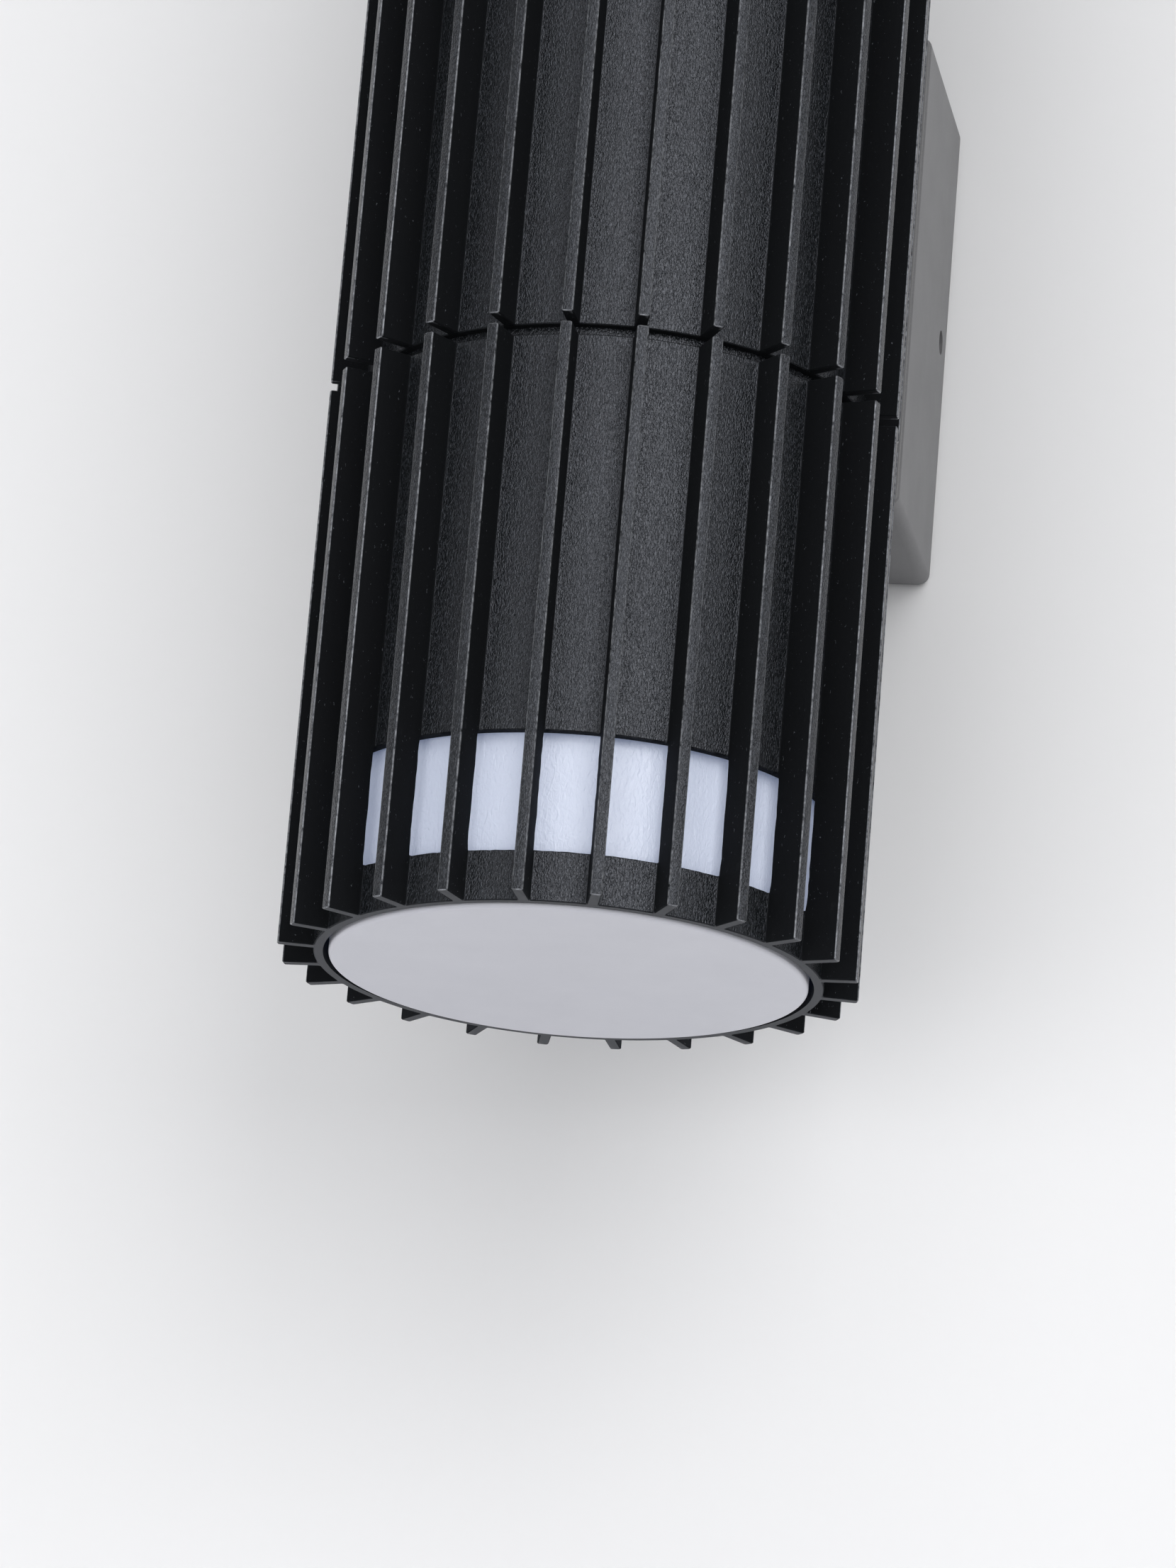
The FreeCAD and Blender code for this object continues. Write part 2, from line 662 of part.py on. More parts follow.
def make_wall_box():
    """The box, open to the wall, that holds the supply terminals and carries the tube."""
    body = add_body("wall_box")
    outside = add_sketch(body, "outside", "XZ_Plane")
    add_rounded_rectangle(outside, "box_width", "box_height", "box_corner")
    add_pad(body, outside, BOX_DEPTH)
    inside = add_sketch(body, "inside", "XZ_Plane")
    add_box_inside(inside)
    add_pocket(body, inside, f"{BOX_DEPTH} - box_front", reverse=True)
    through = add_sketch(body, "through", "XZ_Plane")
    add_circle(through, SLEEVE_HOLE)
    add_screw_holes(through, "hole_gap")
    add_pocket(body, through, BOX_DEPTH, reverse=True)
    sides = add_sketch(body, "sides", "YZ_Plane")
    add_circle(sides, "side_hole_radius", "gasket_thickness - side_screw_inset", "0")
    add_pocket(body, sides, "box_width", side="Symmetric")
    place(body, y="-gasket_thickness")


def make_wall_gasket():
    """The foam frame between the rim of the box and the wall."""
    body = add_body("wall_gasket")
    frame = add_sketch(body, "frame", "XZ_Plane")
    add_rounded_rectangle(
        frame, "box_width - 2 * gasket_inset", "box_height - 2 * gasket_inset", "box_corner")
    add_box_inside(frame)
    add_pad(body, frame, "gasket_thickness")
    place(body)


def draw_bent_leg(leg):
    """Draw the section of a tab: a quarter bend from the plate, then a straight leg."""
    bend_outside = "(bend_radius + plate_thickness)"
    edge = value(PLATE_EDGE)
    depth = value(bend_outside)
    inner = value(TAB_INSIDE)
    outer = value(TAB_OUTSIDE)
    reach = value("tab_reach")
    centre = Vector(edge, -depth, 0)
    wide_circle = Part.Circle(centre, Vector(0, 0, 1), depth)
    tight_circle = Part.Circle(centre, Vector(0, 0, 1), value("bend_radius"))
    wide = add_piece(leg, Part.ArcOfCircle(wide_circle, 0, math.pi / 2))
    tight = add_piece(leg, Part.ArcOfCircle(tight_circle, 0, math.pi / 2))
    root = add_line(leg, (edge, 0), (edge, -value("plate_thickness")))
    outer_side = add_line(leg, (outer, -depth), (outer, -reach))
    inner_side = add_line(leg, (inner, -depth), (inner, -reach))
    tip = add_line(leg, (inner, -reach), (outer, -reach))
    join(leg, "Coincident", root, 1, wide, 2)
    join(leg, "Coincident", root, 2, tight, 2)
    join(leg, "Coincident", inner_side, 2, tip, 1)
    join(leg, "Coincident", outer_side, 2, tip, 2)
    join(leg, "Coincident", wide, 3, tight, 3)
    join(leg, "Tangent", wide, 1, outer_side, 1)
    join(leg, "Tangent", tight, 1, inner_side, 1)
    leg.addConstraint(Sketcher.Constraint("Vertical", outer_side))
    leg.addConstraint(Sketcher.Constraint("Vertical", root))
    leg.addConstraint(Sketcher.Constraint("Horizontal", tip))
    pin_point(leg, root, 1, PLATE_EDGE, "0")
    pin(leg, "Radius", bend_outside, wide)
    pin(leg, "Radius", "bend_radius", tight)
    pin(leg, "DistanceY", "-tab_reach", tip, 1)


def make_wall_plate():
    """The bent steel plate on the wall. The side screws of the box go into its two tabs."""
    body = add_body("wall_plate")
    face = add_sketch(body, "face", "XZ_Plane")
    half = "plate_height / 2"
    add_rectangle(face, f"-{PLATE_EDGE}", PLATE_EDGE, f"-{half}", half)
    add_pad(body, face, "plate_thickness")
    leg = add_sketch(body, "leg")
    draw_bent_leg(leg)
    tab = add_pad(body, leg, "tab_width", side="Symmetric")
    add_mirror(body, [tab], "YZ_Plane")
    openings = add_sketch(body, "openings", "XZ_Plane")
    add_slot(openings, "-slot_spacing / 2", "slot_length", "slot_width")
    add_slot(openings, "slot_spacing / 2", "slot_length", "slot_width")
    add_circle(openings, "entry_radius")
    add_pocket(body, openings, "plate_thickness", reverse=True)
    threads = add_sketch(body, "threads", "YZ_Plane")
    add_circle(threads, "grub_radius + thread_gap", "-side_screw_inset", "0")
    add_pocket(body, threads, "box_width", side="Symmetric")
    place(body)


def make_side_screws():
    """The two socket screws that hold the box on the wall plate, sunk in its sides."""
    body = add_body("box_side_screws", several=True)
    outer_end = "box_width / 2 - grub_recess"
    section = add_sketch(body, "section", "YZ_Plane", offset=outer_end)
    add_circle(section, "grub_radius")
    socket = add_sketch(body, "socket", "YZ_Plane", offset=outer_end)
    add_hexagon(socket, "grub_socket")
    parts = [
        add_pad(body, section, "grub_length", reverse=True),
        add_pocket(body, socket, "grub_length / 2"),
    ]
    add_mirror(body, parts, "YZ_Plane")
    place(body, y="-side_screw_inset")


def make_terminal_block():
    """The three-pole terminal block for the supply, with a lever slot over each pole. Its
    sleeve guides the driver's lead through the walls of the box and the tube."""
    body = add_body("terminal_block")
    case = add_sketch(body, "case", "XZ_Plane")
    across = "block_width / 2"
    up = "block_height / 2"
    add_rectangle(case, f"-{across}", across, f"-{up}", up)
    add_pad(body, case, "block_depth", reverse=True)
    sleeve = add_sketch(body, "sleeve", "XZ_Plane")
    add_circle(sleeve, "sleeve_radius")
    add_pad(body, sleeve, f"box_front + {SEAT_RADIUS} - {SADDLE_RADIUS} - sleeve_gap")
    bore = add_sketch(body, "bore", "XZ_Plane", offset="-lead_entry")
    add_circle(bore, "lead_radius + lead_gap")
    add_pocket(body, bore, f"lead_entry + {SEAT_RADIUS}", reverse=True)
    wires = add_sketch(body, "wires", "YZ_Plane", offset=f"-{across}")
    levers = add_sketch(body, "levers", "XZ_Plane", offset="-block_depth")
    half_hole = "pole_hole / 2"
    half_length = "lever_length / 2"
    half_width = "lever_width / 2"
    for pole in ("-pole_pitch", "0", "pole_pitch"):
        add_rectangle(
            wires, f"pole_lift - {half_hole}", f"pole_lift + {half_hole}",
            f"{pole} - {half_hole}", f"{pole} + {half_hole}")
        add_rectangle(
            levers, f"-{half_length}", half_length,
            f"{pole} - {half_width}", f"{pole} + {half_width}")
    add_pocket(body, wires, "pole_depth", reverse=True)
    add_pocket(body, levers, "lever_depth", reverse=True)
    place(body, y=f"-{BOX_INSIDE}")


def make_supply_lead():
    """The lead from the driver straight back through the sleeve into the terminal block."""
    body = add_body("supply_lead")
    section = add_sketch(body, "section", "XZ_Plane", offset=f"{BOX_INSIDE} - lead_entry")
    add_circle(section, "lead_radius")
    add_pad(body, section, f"axis_to_wall - {CLAMP_FACE} - {BOX_INSIDE} + lead_entry")
    place(body)


def make_board_lead(label, turned_over):
    """The straight lead from the driver down or up to a board."""
    body = add_body(label)
    section = add_sketch(body, "section", offset=BOARD_FACE)
    add_circle(section, "lead_radius", "0", "lead_back")
    add_pad(body, section, f"{HALF_LENGTH} - {BOARD_FACE} - driver_height / 2")
    place_in_head(body, turned_over)


def build():
    """Make every piece, from the wall outwards."""
    make_wall_plate()
    make_wall_gasket()
    make_wall_box()
    make_side_screws()
    make_terminal_block()
    make_supply_lead()
    make_tube_screws()
    make_clamp_plate()
    make_driver()
    make_middle_tube()
    make_tie_bolt()
    make_tie_nut()
    for end, turned_over in (("lower", False), ("upper", True)):
        make_head_tube(f"{end}_head_tube", turned_over)
        make_led_carrier(f"{end}_led_carrier", turned_over)
        make_led_board(f"{end}_led_board", turned_over)
        make_led_chips(f"{end}_led_chips", turned_over)
        make_diffuser(f"{end}_diffuser", turned_over)
        make_board_lead(f"{end}_lead", turned_over)


def check():
    """Stop unless every object is sound and every piece has a valid shape."""
    doc.recompute()
    for item in doc.Objects:
        if "Invalid" in item.State or "Error" in item.State:
            raise RuntimeError(f"{item.Name} is {item.State}")
    for node in nodes:
        if node.Shape.isNull() or not node.Shape.isValid() or not node.Shape.Solids:
            raise RuntimeError(f"{node.Label} has no valid shape")


def export():
    """Write each piece to a file of its own name."""
    os.makedirs("parts", exist_ok=True)
    for node in nodes:
        node.Shape.exportStep(os.path.join("parts", f"{node.Label}.step"))
    print(f"{len(nodes)} pieces written")


fill_sheet()
build()
check()
export()
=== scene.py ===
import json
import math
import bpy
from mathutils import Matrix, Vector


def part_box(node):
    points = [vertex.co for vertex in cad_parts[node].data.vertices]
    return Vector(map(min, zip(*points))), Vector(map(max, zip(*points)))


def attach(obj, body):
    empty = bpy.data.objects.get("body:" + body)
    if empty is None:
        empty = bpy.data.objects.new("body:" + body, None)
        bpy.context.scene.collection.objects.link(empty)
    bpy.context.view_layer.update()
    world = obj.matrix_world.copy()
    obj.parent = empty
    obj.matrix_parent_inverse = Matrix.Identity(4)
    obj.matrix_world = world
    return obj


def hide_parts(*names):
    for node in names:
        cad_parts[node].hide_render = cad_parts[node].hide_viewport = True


bl_info = {
    "name": "Tube wall light",
    "version": (1, 0, 0),
    "blender": (4, 5, 0),
    "location": "View3D > Sidebar > Wall light",
    "description": "Dresses a finned up and down wall light for a picture",
    "category": "Object",
}

import bpy
from bpy.props import FloatProperty, FloatVectorProperty, IntProperty, PointerProperty
from mathutils import Matrix, Vector, noise

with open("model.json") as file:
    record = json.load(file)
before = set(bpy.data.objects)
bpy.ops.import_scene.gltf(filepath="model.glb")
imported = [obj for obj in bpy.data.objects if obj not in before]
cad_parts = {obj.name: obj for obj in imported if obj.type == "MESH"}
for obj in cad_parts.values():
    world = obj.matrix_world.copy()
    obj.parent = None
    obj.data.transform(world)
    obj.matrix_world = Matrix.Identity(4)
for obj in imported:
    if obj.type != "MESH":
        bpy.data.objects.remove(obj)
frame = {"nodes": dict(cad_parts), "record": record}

ROOT = "root"
LOWER, UPPER = "lower", "upper"
TAU = 2 * math.pi
HEAD_LOW, HEAD_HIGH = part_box("lower_head_tube")
_, MIDDLE_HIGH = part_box("middle_tube")
BOX_LOW, BOX_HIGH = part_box("wall_box")
SCREWS_LOW, SCREWS_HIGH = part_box("box_side_screws")
AXIS_DEPTH = (HEAD_LOW.y + HEAD_HIGH.y) / 2
SCREW_DEPTH = (SCREWS_LOW.y + SCREWS_HIGH.y) / 2

# An edge that turns by more than this stays sharp
SHARP_ANGLE = math.radians(38)

# Parts of the wrinkles' height, from 0 to 1, where flecks and specks come in
FLECKS, SPECKS = (0.52, 0.68), (0.74, 0.80)
# Part of the patches' noise that is used
PATCHES = 0.3, 0.7
# Cosines of the angle between a face and the way out from the tube's axis, or along it
OUTWARD, ENDWARD = (0.6, 0.95), (0.75, 0.95)
EDGE_RISE, EDGE_FALL = (0.15, 0.5), (0.85, 0.99)
# Radius past which a slanting face is a fin's edge, as a share of the fin tips' radius
EDGE_REACH = 0.97

# Without a seed, the noise changes with the clock
NOISE_SEED = 1
# A row of points this many bevels away keeps a bevel's shading near the bevel
SUPPORT_BEVELS = 3
WINDOW_ROWS = 14
DIFFUSER_SIDES, HOLE_SIDES, SCREW_SIDES = 192, 64, 48
DIFFUSER_EDGE_STEPS, BOX_EDGE_STEPS, BOX_CORNER_STEPS = 8, 4, 6
# Rings of the diffuser's face, side and floor inside, as shares of its radius or depth
FACE_RINGS = 0.02, 0.3, 0.6, 0.85, 0.95
SIDE_RINGS = 0.2, 0.5, 0.8, 1.0
FLOOR_RINGS = 1.0, 0.5, 0.02

# The stage: the wall's face lies just behind the light's back
STAGE_REACH, WALL_FACE, WALL_TOP = 2.5, 0.0004, 2.5
FLOOR_HEIGHT, FLOOR_FRONT = -1.2, -3.5
# How far the hole in the wall stays inside the box's outline
HOLE_INSET = 0.002
ROOM_COLOUR = 0.98, 0.985, 1.0, 1
# Heights of the direction, from -1 to 1, between which the room turns to ceiling
CEILING = 0.1, 0.7
# Each lamp's place, the point that it looks at, and its size
TOP_LAMP = (0.5, -2.5, 1.9), (0, 0, -0.1), 2.6
LOW_LAMP = (-0.7, -2.2, -0.95), (0, 0, -0.1), 2.0
SIDE_LAMP = (0.99, -1.95, 0.44), (0, -0.09, -0.08), 1.3
CAMERA_PLACE = 0.2292, -1.2705, -0.4743
CAMERA_YAW, CAMERA_PITCH, CAMERA_ROLL = 0.191610, 0.291676, 0.083902
SENSOR_WIDTH = 36
NEAREST, FARTHEST = 0.05, 20


def length(label, description, default, **more):
    """A size in metres that a user can change."""
    return FloatProperty(
        name=label, description=description, default=default, unit="LENGTH", precision=5, **more)


def colour(label, description, default):
    """A linear colour that a user can change."""
    return FloatVectorProperty(
        name=label, description=description, default=default, subtype="COLOR", size=3,
        min=0, max=1)


def share(label, description, default):
    """A number from 0 to 1 that a user can change."""
    return FloatProperty(
        name=label, description=description, default=default, min=0, max=1, subtype="FACTOR")


class TubeSettings(bpy.types.PropertyGroup):
    """Sizes of the finned tube."""

    tip_radius: length("Tip radius", "Tube axis to the fin tips", (HEAD_HIGH.x - HEAD_LOW.x) / 2)
    wall_radius: length("Wall radius", "Tube axis to the wall between two fins", 0.04375)
    fin_count: IntProperty(
        name="Fins", description="Fins round the tube", default=24, min=3, subtype="UNSIGNED")
    fin_width: length("Fin width", "Thickness of a fin", 0.002)
    root_round: length("Root round", "Hollow round where a fin meets the wall", 0.0003)
    edge_round: length("Edge round", "Round of a fin's long edges", 0.00028)
    end_round: length("End round", "Bevel where a length of tube ends", 0.00018)
    mouth_radius: length("Mouth radius", "Bore at the open end", 0.0421)
    mouth_depth: length("Mouth depth", "Open end to the shoulder inside", 0.042)
    bore_radius: length("Bore radius", "Bore of a head behind the shoulder", 0.0405)
    window_start: length("Window start", "Open end to the windows", 0.0087)
    window_height: length("Window height", "Height of the windows", 0.0209)
    middle_half: length("Middle half", "Half the finned height of the middle length", 0.046)
    collar_radius: length("Collar radius", "Collar that shows in the seam", 0.042)
    collar_half: length("Collar half", "Middle of the light to the end of the collar", 0.0478)
    spigot_radius: length("Spigot radius", "Spigot that centres a head", 0.0404)
    middle_bore: length("Middle bore", "Bore of the middle length", 0.0364)
    seat: length("Seat", "Tube axis to the flat of the rear fins", MIDDLE_HIGH.y - AXIS_DEPTH)
    ragged: length("Ragged", "How far the coat makes the windows' edges uneven", 0.00011)


class DiffuserSettings(bpy.types.PropertyGroup):
    """Sizes of the diffusers."""

    radius: length("Radius", "Axis to the side of the diffuser", 0.04115)
    proud: length("Proud", "Diffuser past the open end", 0.0005)
    edge_round: length("Edge round", "Round of the diffuser's outer edge", 0.0007)
    wall: length("Wall", "Thickness of the side", 0.002)
    floor: length("Floor", "Thickness of the lit face", 0.0025)
    depth: length("Depth", "Open end to the rim inside", 0.036)


class BoxSettings(bpy.types.PropertyGroup):
    """Sizes of the wall box and its side screws."""

    corner: length("Corner", "Round of the long edges", 0.002)
    front_round: length("Front round", "Round of the front edges", 0.0006)
    wall: length("Wall", "Side walls", 0.0025)
    front: length("Front", "Front wall", 0.004)
    hole_radius: length("Hole radius", "Side hole for the screw", 0.0023)
    screw_radius: length("Screw radius", "Side screw", 0.00195)
    screw_socket: length("Screw socket", "Hexagon socket across the flats", 0.002)
    socket_depth: length("Socket depth", "Depth of the socket", 0.003)


class ColourSettings(bpy.types.PropertyGroup):
    """Colours and finish of the light."""

    coat: colour("Coat", "Powder coat of the tube", (0.0058, 0.0068, 0.0077))
    coat_light: colour("Coat light", "Lighter flecks of the coat", (0.027, 0.030, 0.035))
    # Painted highlight: a pale colour along the fins' rounded edges stands in for the sheen they
    # catch
    painted_edge_colour: colour("Coat edge", "Thin coat along the fins' edges", (0.27, 0.28, 0.30))
    coat_speck: colour("Coat speck", "Sparse specks on the fins' sides", (0.16, 0.17, 0.19))
    end_coat: colour("End coat", "Thin coat on the open ends of the tube", (0.055, 0.057, 0.061))
    coat_roughness: share("Coat roughness", "Satin of the tube's coat", 0.25)
    side_roughness: share("Side roughness", "Matt thin coat on the fins' sides", 0.9)
    side_depth: share("Side depth", "How far the fins' sides sink to black", 0.72)
    grain_size: length("Grain size", "Width of a wrinkle of the coat", 0.00027)
    grain_height: length("Grain height", "Height of the wrinkles", 0.00017)
    box_coat: colour("Box coat", "Powder coat of the box", (0.122, 0.122, 0.126))
    box_roughness: share("Box roughness", "Satin of the box's coat", 0.42)
    opal: colour("Opal", "Diffusers", (0.535, 0.54, 0.59))
    # Painted light: the side of the same opal is painted paler and bluer than its face, as if
    # more brightly lit
    opal_painted_lit_side: colour("Opal side", "Side of the diffusers", (0.68, 0.715, 0.80))
    # Painted glow: a faint bluish emission from the diffuser's side, though the light is off,
    # with its strength below
    painted_glow_colour: colour("Opal light", "Light through the side", (0.36, 0.52, 1.0))
    painted_glow_strength: FloatProperty(
        name="Opal glow", description="Strength of the light through the side", default=0.13,
        min=0)


class StageSettings(bpy.types.PropertyGroup):
    """The wall, the lamps and the camera."""

    wall_colour: colour("Wall colour", "Paint of the wall", (0.82, 0.82, 0.827))
    ceiling_glow: FloatProperty(
        name="Ceiling glow", description="Light of the room from above", default=0.60, min=0)
    room_glow: FloatProperty(
        name="Room glow", description="Light of the room from the sides", default=0.42, min=0)
    top_light: FloatProperty(
        name="Top light", description="Large lamp high in front, in watts", default=22, min=0,
        unit="POWER")
    low_light: FloatProperty(
        name="Low light", description="Lamp low on the left, in watts", default=26, min=0,
        unit="POWER")
    side_light: FloatProperty(
        name="Side light", description="Lamp in front on the right, in watts", default=16,
        min=0, unit="POWER")
    lens: FloatProperty(
        name="Lens", description="Camera's focal length in millimetres", default=167.05,
        min=1, unit="CAMERA")


SETTINGS = {
    "wall_light_tube": TubeSettings,
    "wall_light_diffuser": DiffuserSettings,
    "wall_light_box": BoxSettings,
    "wall_light_colours": ColourSettings,
    "wall_light_stage": StageSettings,
}


# ---------------------------------------------------------------- materials


def feed(tree, inputs, values):
    """Join each named input to an output, or give it a plain value."""
    for name, value in values.items():
        if isinstance(value, bpy.types.NodeSocket):
            tree.links.new(value, inputs[name])
        else:
            inputs[name].default_value = value


def node(tree, kind, inputs=None, **properties):
    """Add a node, set its properties and feed its inputs."""
    made = tree.nodes.new(kind)
    for name, value in properties.items():
        setattr(made, name, value)
    feed(tree, made.inputs, inputs or {})
    return made


def number(tree, operation, *values):
    """Work out a number from outputs and plain numbers."""
    return node(tree, "ShaderNodeMath", dict(enumerate(values)),
                operation=operation).outputs[0]


def vector(tree, operation, *values, output="Vector"):
    """Work out a vector, or a number, from outputs and plain vectors."""
    return node(tree, "ShaderNodeVectorMath", dict(enumerate(values)),
                operation=operation).outputs[output]


def ramp(tree, value, span, low=0.0, high=1.0):
    """Carry a span of a number over to low and high, and hold it between them."""
    start, stop = span
    return node(tree, "ShaderNodeMapRange", {
        "Value": value, "From Min": start, "From Max": stop, "To Min": low,
        "To Max": high}).outputs["Result"]


def blend(tree, factor, first, second):
    """Mix two colours, each of them an output or plain, by a factor."""
    first, second = (
        colour if isinstance(colour, bpy.types.NodeSocket) else (*colour, 1)
        for colour in (first, second))
    return node(
        tree, "ShaderNodeMix", {"Factor": factor, "A": first, "B": second},
        data_type="RGBA").outputs["Result"]


def bump(tree, height, distance):
    """The normals of a surface that a height from 0 to 1 raises by a distance."""
    return node(
        tree, "ShaderNodeBump", {"Height": height, "Distance": distance}).outputs["Normal"]


def scaled(plain_colour, times):
    """A plain colour, lighter or darker."""
    return [part * times for part in plain_colour]


def new_group(name, inputs, outputs):
    """Start a node group. An input with no number is a vector, and outputs are numbers."""
    group = bpy.data.node_groups.new(name, "ShaderNodeTree")
    for label, default in inputs.items():
        kind = "NodeSocketVector" if default is None else "NodeSocketFloat"
        socket = group.interface.new_socket(label, in_out="INPUT", socket_type=kind)
        if default is not None:
            socket.default_value = default
    for label in outputs:
        group.interface.new_socket(label, in_out="OUTPUT", socket_type="NodeSocketFloat")
    return (group, group.nodes.new("NodeGroupInput").outputs,
            group.nodes.new("NodeGroupOutput").inputs)


def make_grain_group():
    """Wrinkles of a powder coat along Z. Gives their height, flecks and sparse specks."""
    group, source, result = new_group(
        "powder_grain", {"Place": None, "Size": 0.0004, "Stretch": 0.5, "Waviness": 0.8},
        ("Height", "Fleck", "Speck"))
    squeeze = node(
        group, "ShaderNodeCombineXYZ", {"X": 1.0, "Y": 1.0, "Z": source["Stretch"]})
    stretched = vector(group, "MULTIPLY", source["Place"], squeeze.outputs[0])
    height = node(group, "ShaderNodeTexNoise", {
        "Vector": vector(group, "DIVIDE", stretched, source["Size"]), "Scale": 1.0,
        "Detail": 1.0, "Roughness": 0.5, "Distortion": source["Waviness"]}).outputs["Fac"]
    feed(group, result, {"Height": height, "Fleck": ramp(group, height, FLECKS),
                         "Speck": ramp(group, height, SPECKS)})


def make_mottle_group():
    """Soft uneven patches, for a finish that isn't the same all over."""
    group, source, result = new_group(
        "soft_mottle", {"Place": None, "Size": 0.02, "Low": 0.0, "High": 1.0}, ("Value",))
    patches = node(group, "ShaderNodeTexNoise", {
        "Vector": vector(group, "DIVIDE", source["Place"], source["Size"]), "Scale": 1.0,
        "Detail": 3.0, "Roughness": 0.6}).outputs["Fac"]
    feed(group, result, {
        "Value": ramp(group, patches, PATCHES, source["Low"], source["High"])})


def make_facing_group():
    """Masks of the faces that look out from the tube's axis or along it, and of edges."""
    group, source, result = new_group(
        "tube_facing", {"Place": None, "Facing": None, "Depth": 0.0, "Radius": 0.05},
        ("Outward", "Endward", "Edge"))
    axis = node(group, "ShaderNodeCombineXYZ", {"Y": source["Depth"]}).outputs[0]
    offset = vector(group, "SUBTRACT", source["Place"], axis)
    level = vector(group, "MULTIPLY", offset, (1, 1, 0))
    straight = vector(
        group, "DOT_PRODUCT", vector(group, "NORMALIZE", level), source["Facing"],
        output="Value")
    slant = number(group, "MULTIPLY", ramp(group, straight, EDGE_RISE),
                   ramp(group, straight, EDGE_FALL, 1.0, 0.0))
    reach = vector(group, "LENGTH", level, output="Value")
    outer = number(group, "GREATER_THAN", reach, source["Radius"])
    along = node(group, "ShaderNodeSeparateXYZ", {0: source["Facing"]}).outputs["Z"]
    feed(group, result, {
        "Outward": ramp(group, straight, OUTWARD),
        "Edge": number(group, "MULTIPLY", slant, outer),
        "Endward": ramp(group, number(group, "ABSOLUTE", along), ENDWARD)})


def place_group(tree, name, place, **values):
    """Put a shared group into a material, with its own values, and give its outputs."""
    made = node(tree, "ShaderNodeGroup", node_tree=bpy.data.node_groups[name])
    feed(tree, made.inputs, {
        "Place": place, **{label.capitalize(): value for label, value in values.items()}})
    return made.outputs


def grain(tree, place, size, stretch=1.0):
    """Wrinkles of a size: their outputs Height, Fleck and Speck."""
    return place_group(tree, "powder_grain", place, size=size, stretch=stretch)


def mottle(tree, place, size, low=0.0, high=1.0):
    """A number that changes in soft patches between low and high."""
    return place_group(tree, "soft_mottle", place, size=size, low=low, high=high)["Value"]


def tube_facing(tree, place, radius):
    """The masks of the tube's faces: looking outward, looking endward, and a fin's edge."""
    masks = place_group(
        tree, "tube_facing", place, facing=place.node.outputs["Normal"], depth=AXIS_DEPTH,
        radius=radius)
    return [masks[name] for name in ("Outward", "Endward", "Edge")]


def near_ends(tree, place, start, stop):
    """A mask from 0 to 1 between two distances, both measured outward from the open ends."""
    height = node(tree, "ShaderNodeSeparateXYZ", {0: place}).outputs["Z"]
    return ramp(
        tree, number(tree, "ABSOLUTE", height), (start - HEAD_LOW.z, stop - HEAD_LOW.z))


def finish(slot):
    """The finished material of one of the record's slots."""
    return bpy.data.materials[f"{slot}_finish"]


def start_material(slot, **shader_values):
    """Start a slot's finish: its tree, its Principled shader and the place on the piece."""
    material = bpy.data.materials.new(f"{slot}_finish")
    material.use_nodes = True
    tree = material.node_tree
    shader = tree.nodes["Principled BSDF"]
    feed(tree, shader.inputs, {
        label.replace("_", " "): value for label, value in shader_values.items()})
    return tree, shader, node(tree, "ShaderNodeTexCoord").outputs["Object"]


def make_tube_coat(colours):
    """The tube's coat: wrinkled where it looks outward, with a painted highlight along the fins'
    edges and a thin coat on the open ends. The fins' sides are nearly black, with sparse specks."""
    tree, shader, place = start_material(
        "textured_coat", Specular_Tint=(0.87, 0.90, 1.0, 1), Specular_IOR_Level=0.54)
    outward, endward, edge = tube_facing(tree, place, HEAD_HIGH.x * EDGE_REACH)
    exposed = number(tree, "MAXIMUM", outward, edge)
    open_end = number(tree, "MULTIPLY", endward, near_ends(tree, place, -0.004, 0.0))
    flank = number(tree, "SUBTRACT", 1.0, number(tree, "MAXIMUM", exposed, open_end))
    wrinkles = grain(tree, place, size=colours.grain_size, stretch=0.42)
    flecks = number(tree, "MULTIPLY", wrinkles["Fleck"], outward)
    specks = number(tree, "MULTIPLY", wrinkles["Speck"], flank)
    # Painted highlight: broken pale colour on the fins' edges stands in for their sheen; the
    # ends' thin coat and the flanks' specks go on after it
    painted_edge_highlight = number(tree, "MULTIPLY", edge, mottle(tree, place, size=0.0009))
    coat = blend(tree, flecks, colours.coat, colours.coat_light)
    for mask, highlight_and_coat in ((painted_edge_highlight, colours.painted_edge_colour), (open_end, colours.end_coat),
                            (specks, colours.coat_speck)):
        coat = blend(tree, mask, coat, highlight_and_coat)
    satin = mottle(tree, place, size=0.03, low=colours.coat_roughness - 0.03,
                   high=colours.coat_roughness + 0.05)
    roughness = node(tree, "ShaderNodeMix", {
        "Factor": exposed, "A": colours.side_roughness, "B": satin}).outputs["Result"]
    relief = ramp(tree, outward, (0.0, 1.0), low=0.12)
    height = number(tree, "MULTIPLY", wrinkles["Height"], relief)
    feed(tree, shader.inputs, {
        "Base Color": coat, "Roughness": roughness,
        "Metallic": number(tree, "MULTIPLY", flank, colours.side_depth),
        "Normal": bump(tree, height, distance=colours.grain_height)})


def make_box_coat(colours):
    """The box's powder coat, fine and paler than the tube's."""
    tree, shader, place = start_material("smooth_coat", Specular_IOR_Level=0.6)
    texture = grain(tree, place, size=0.00025)
    feed(tree, shader.inputs, {
        "Base Color": blend(
            tree, texture["Fleck"], colours.box_coat, scaled(colours.box_coat, 1.15)),
        "Roughness": mottle(tree, place, size=0.02, low=colours.box_roughness - 0.03,
                            high=colours.box_roughness + 0.04),
        "Normal": bump(tree, texture["Height"], distance=0.000012)})


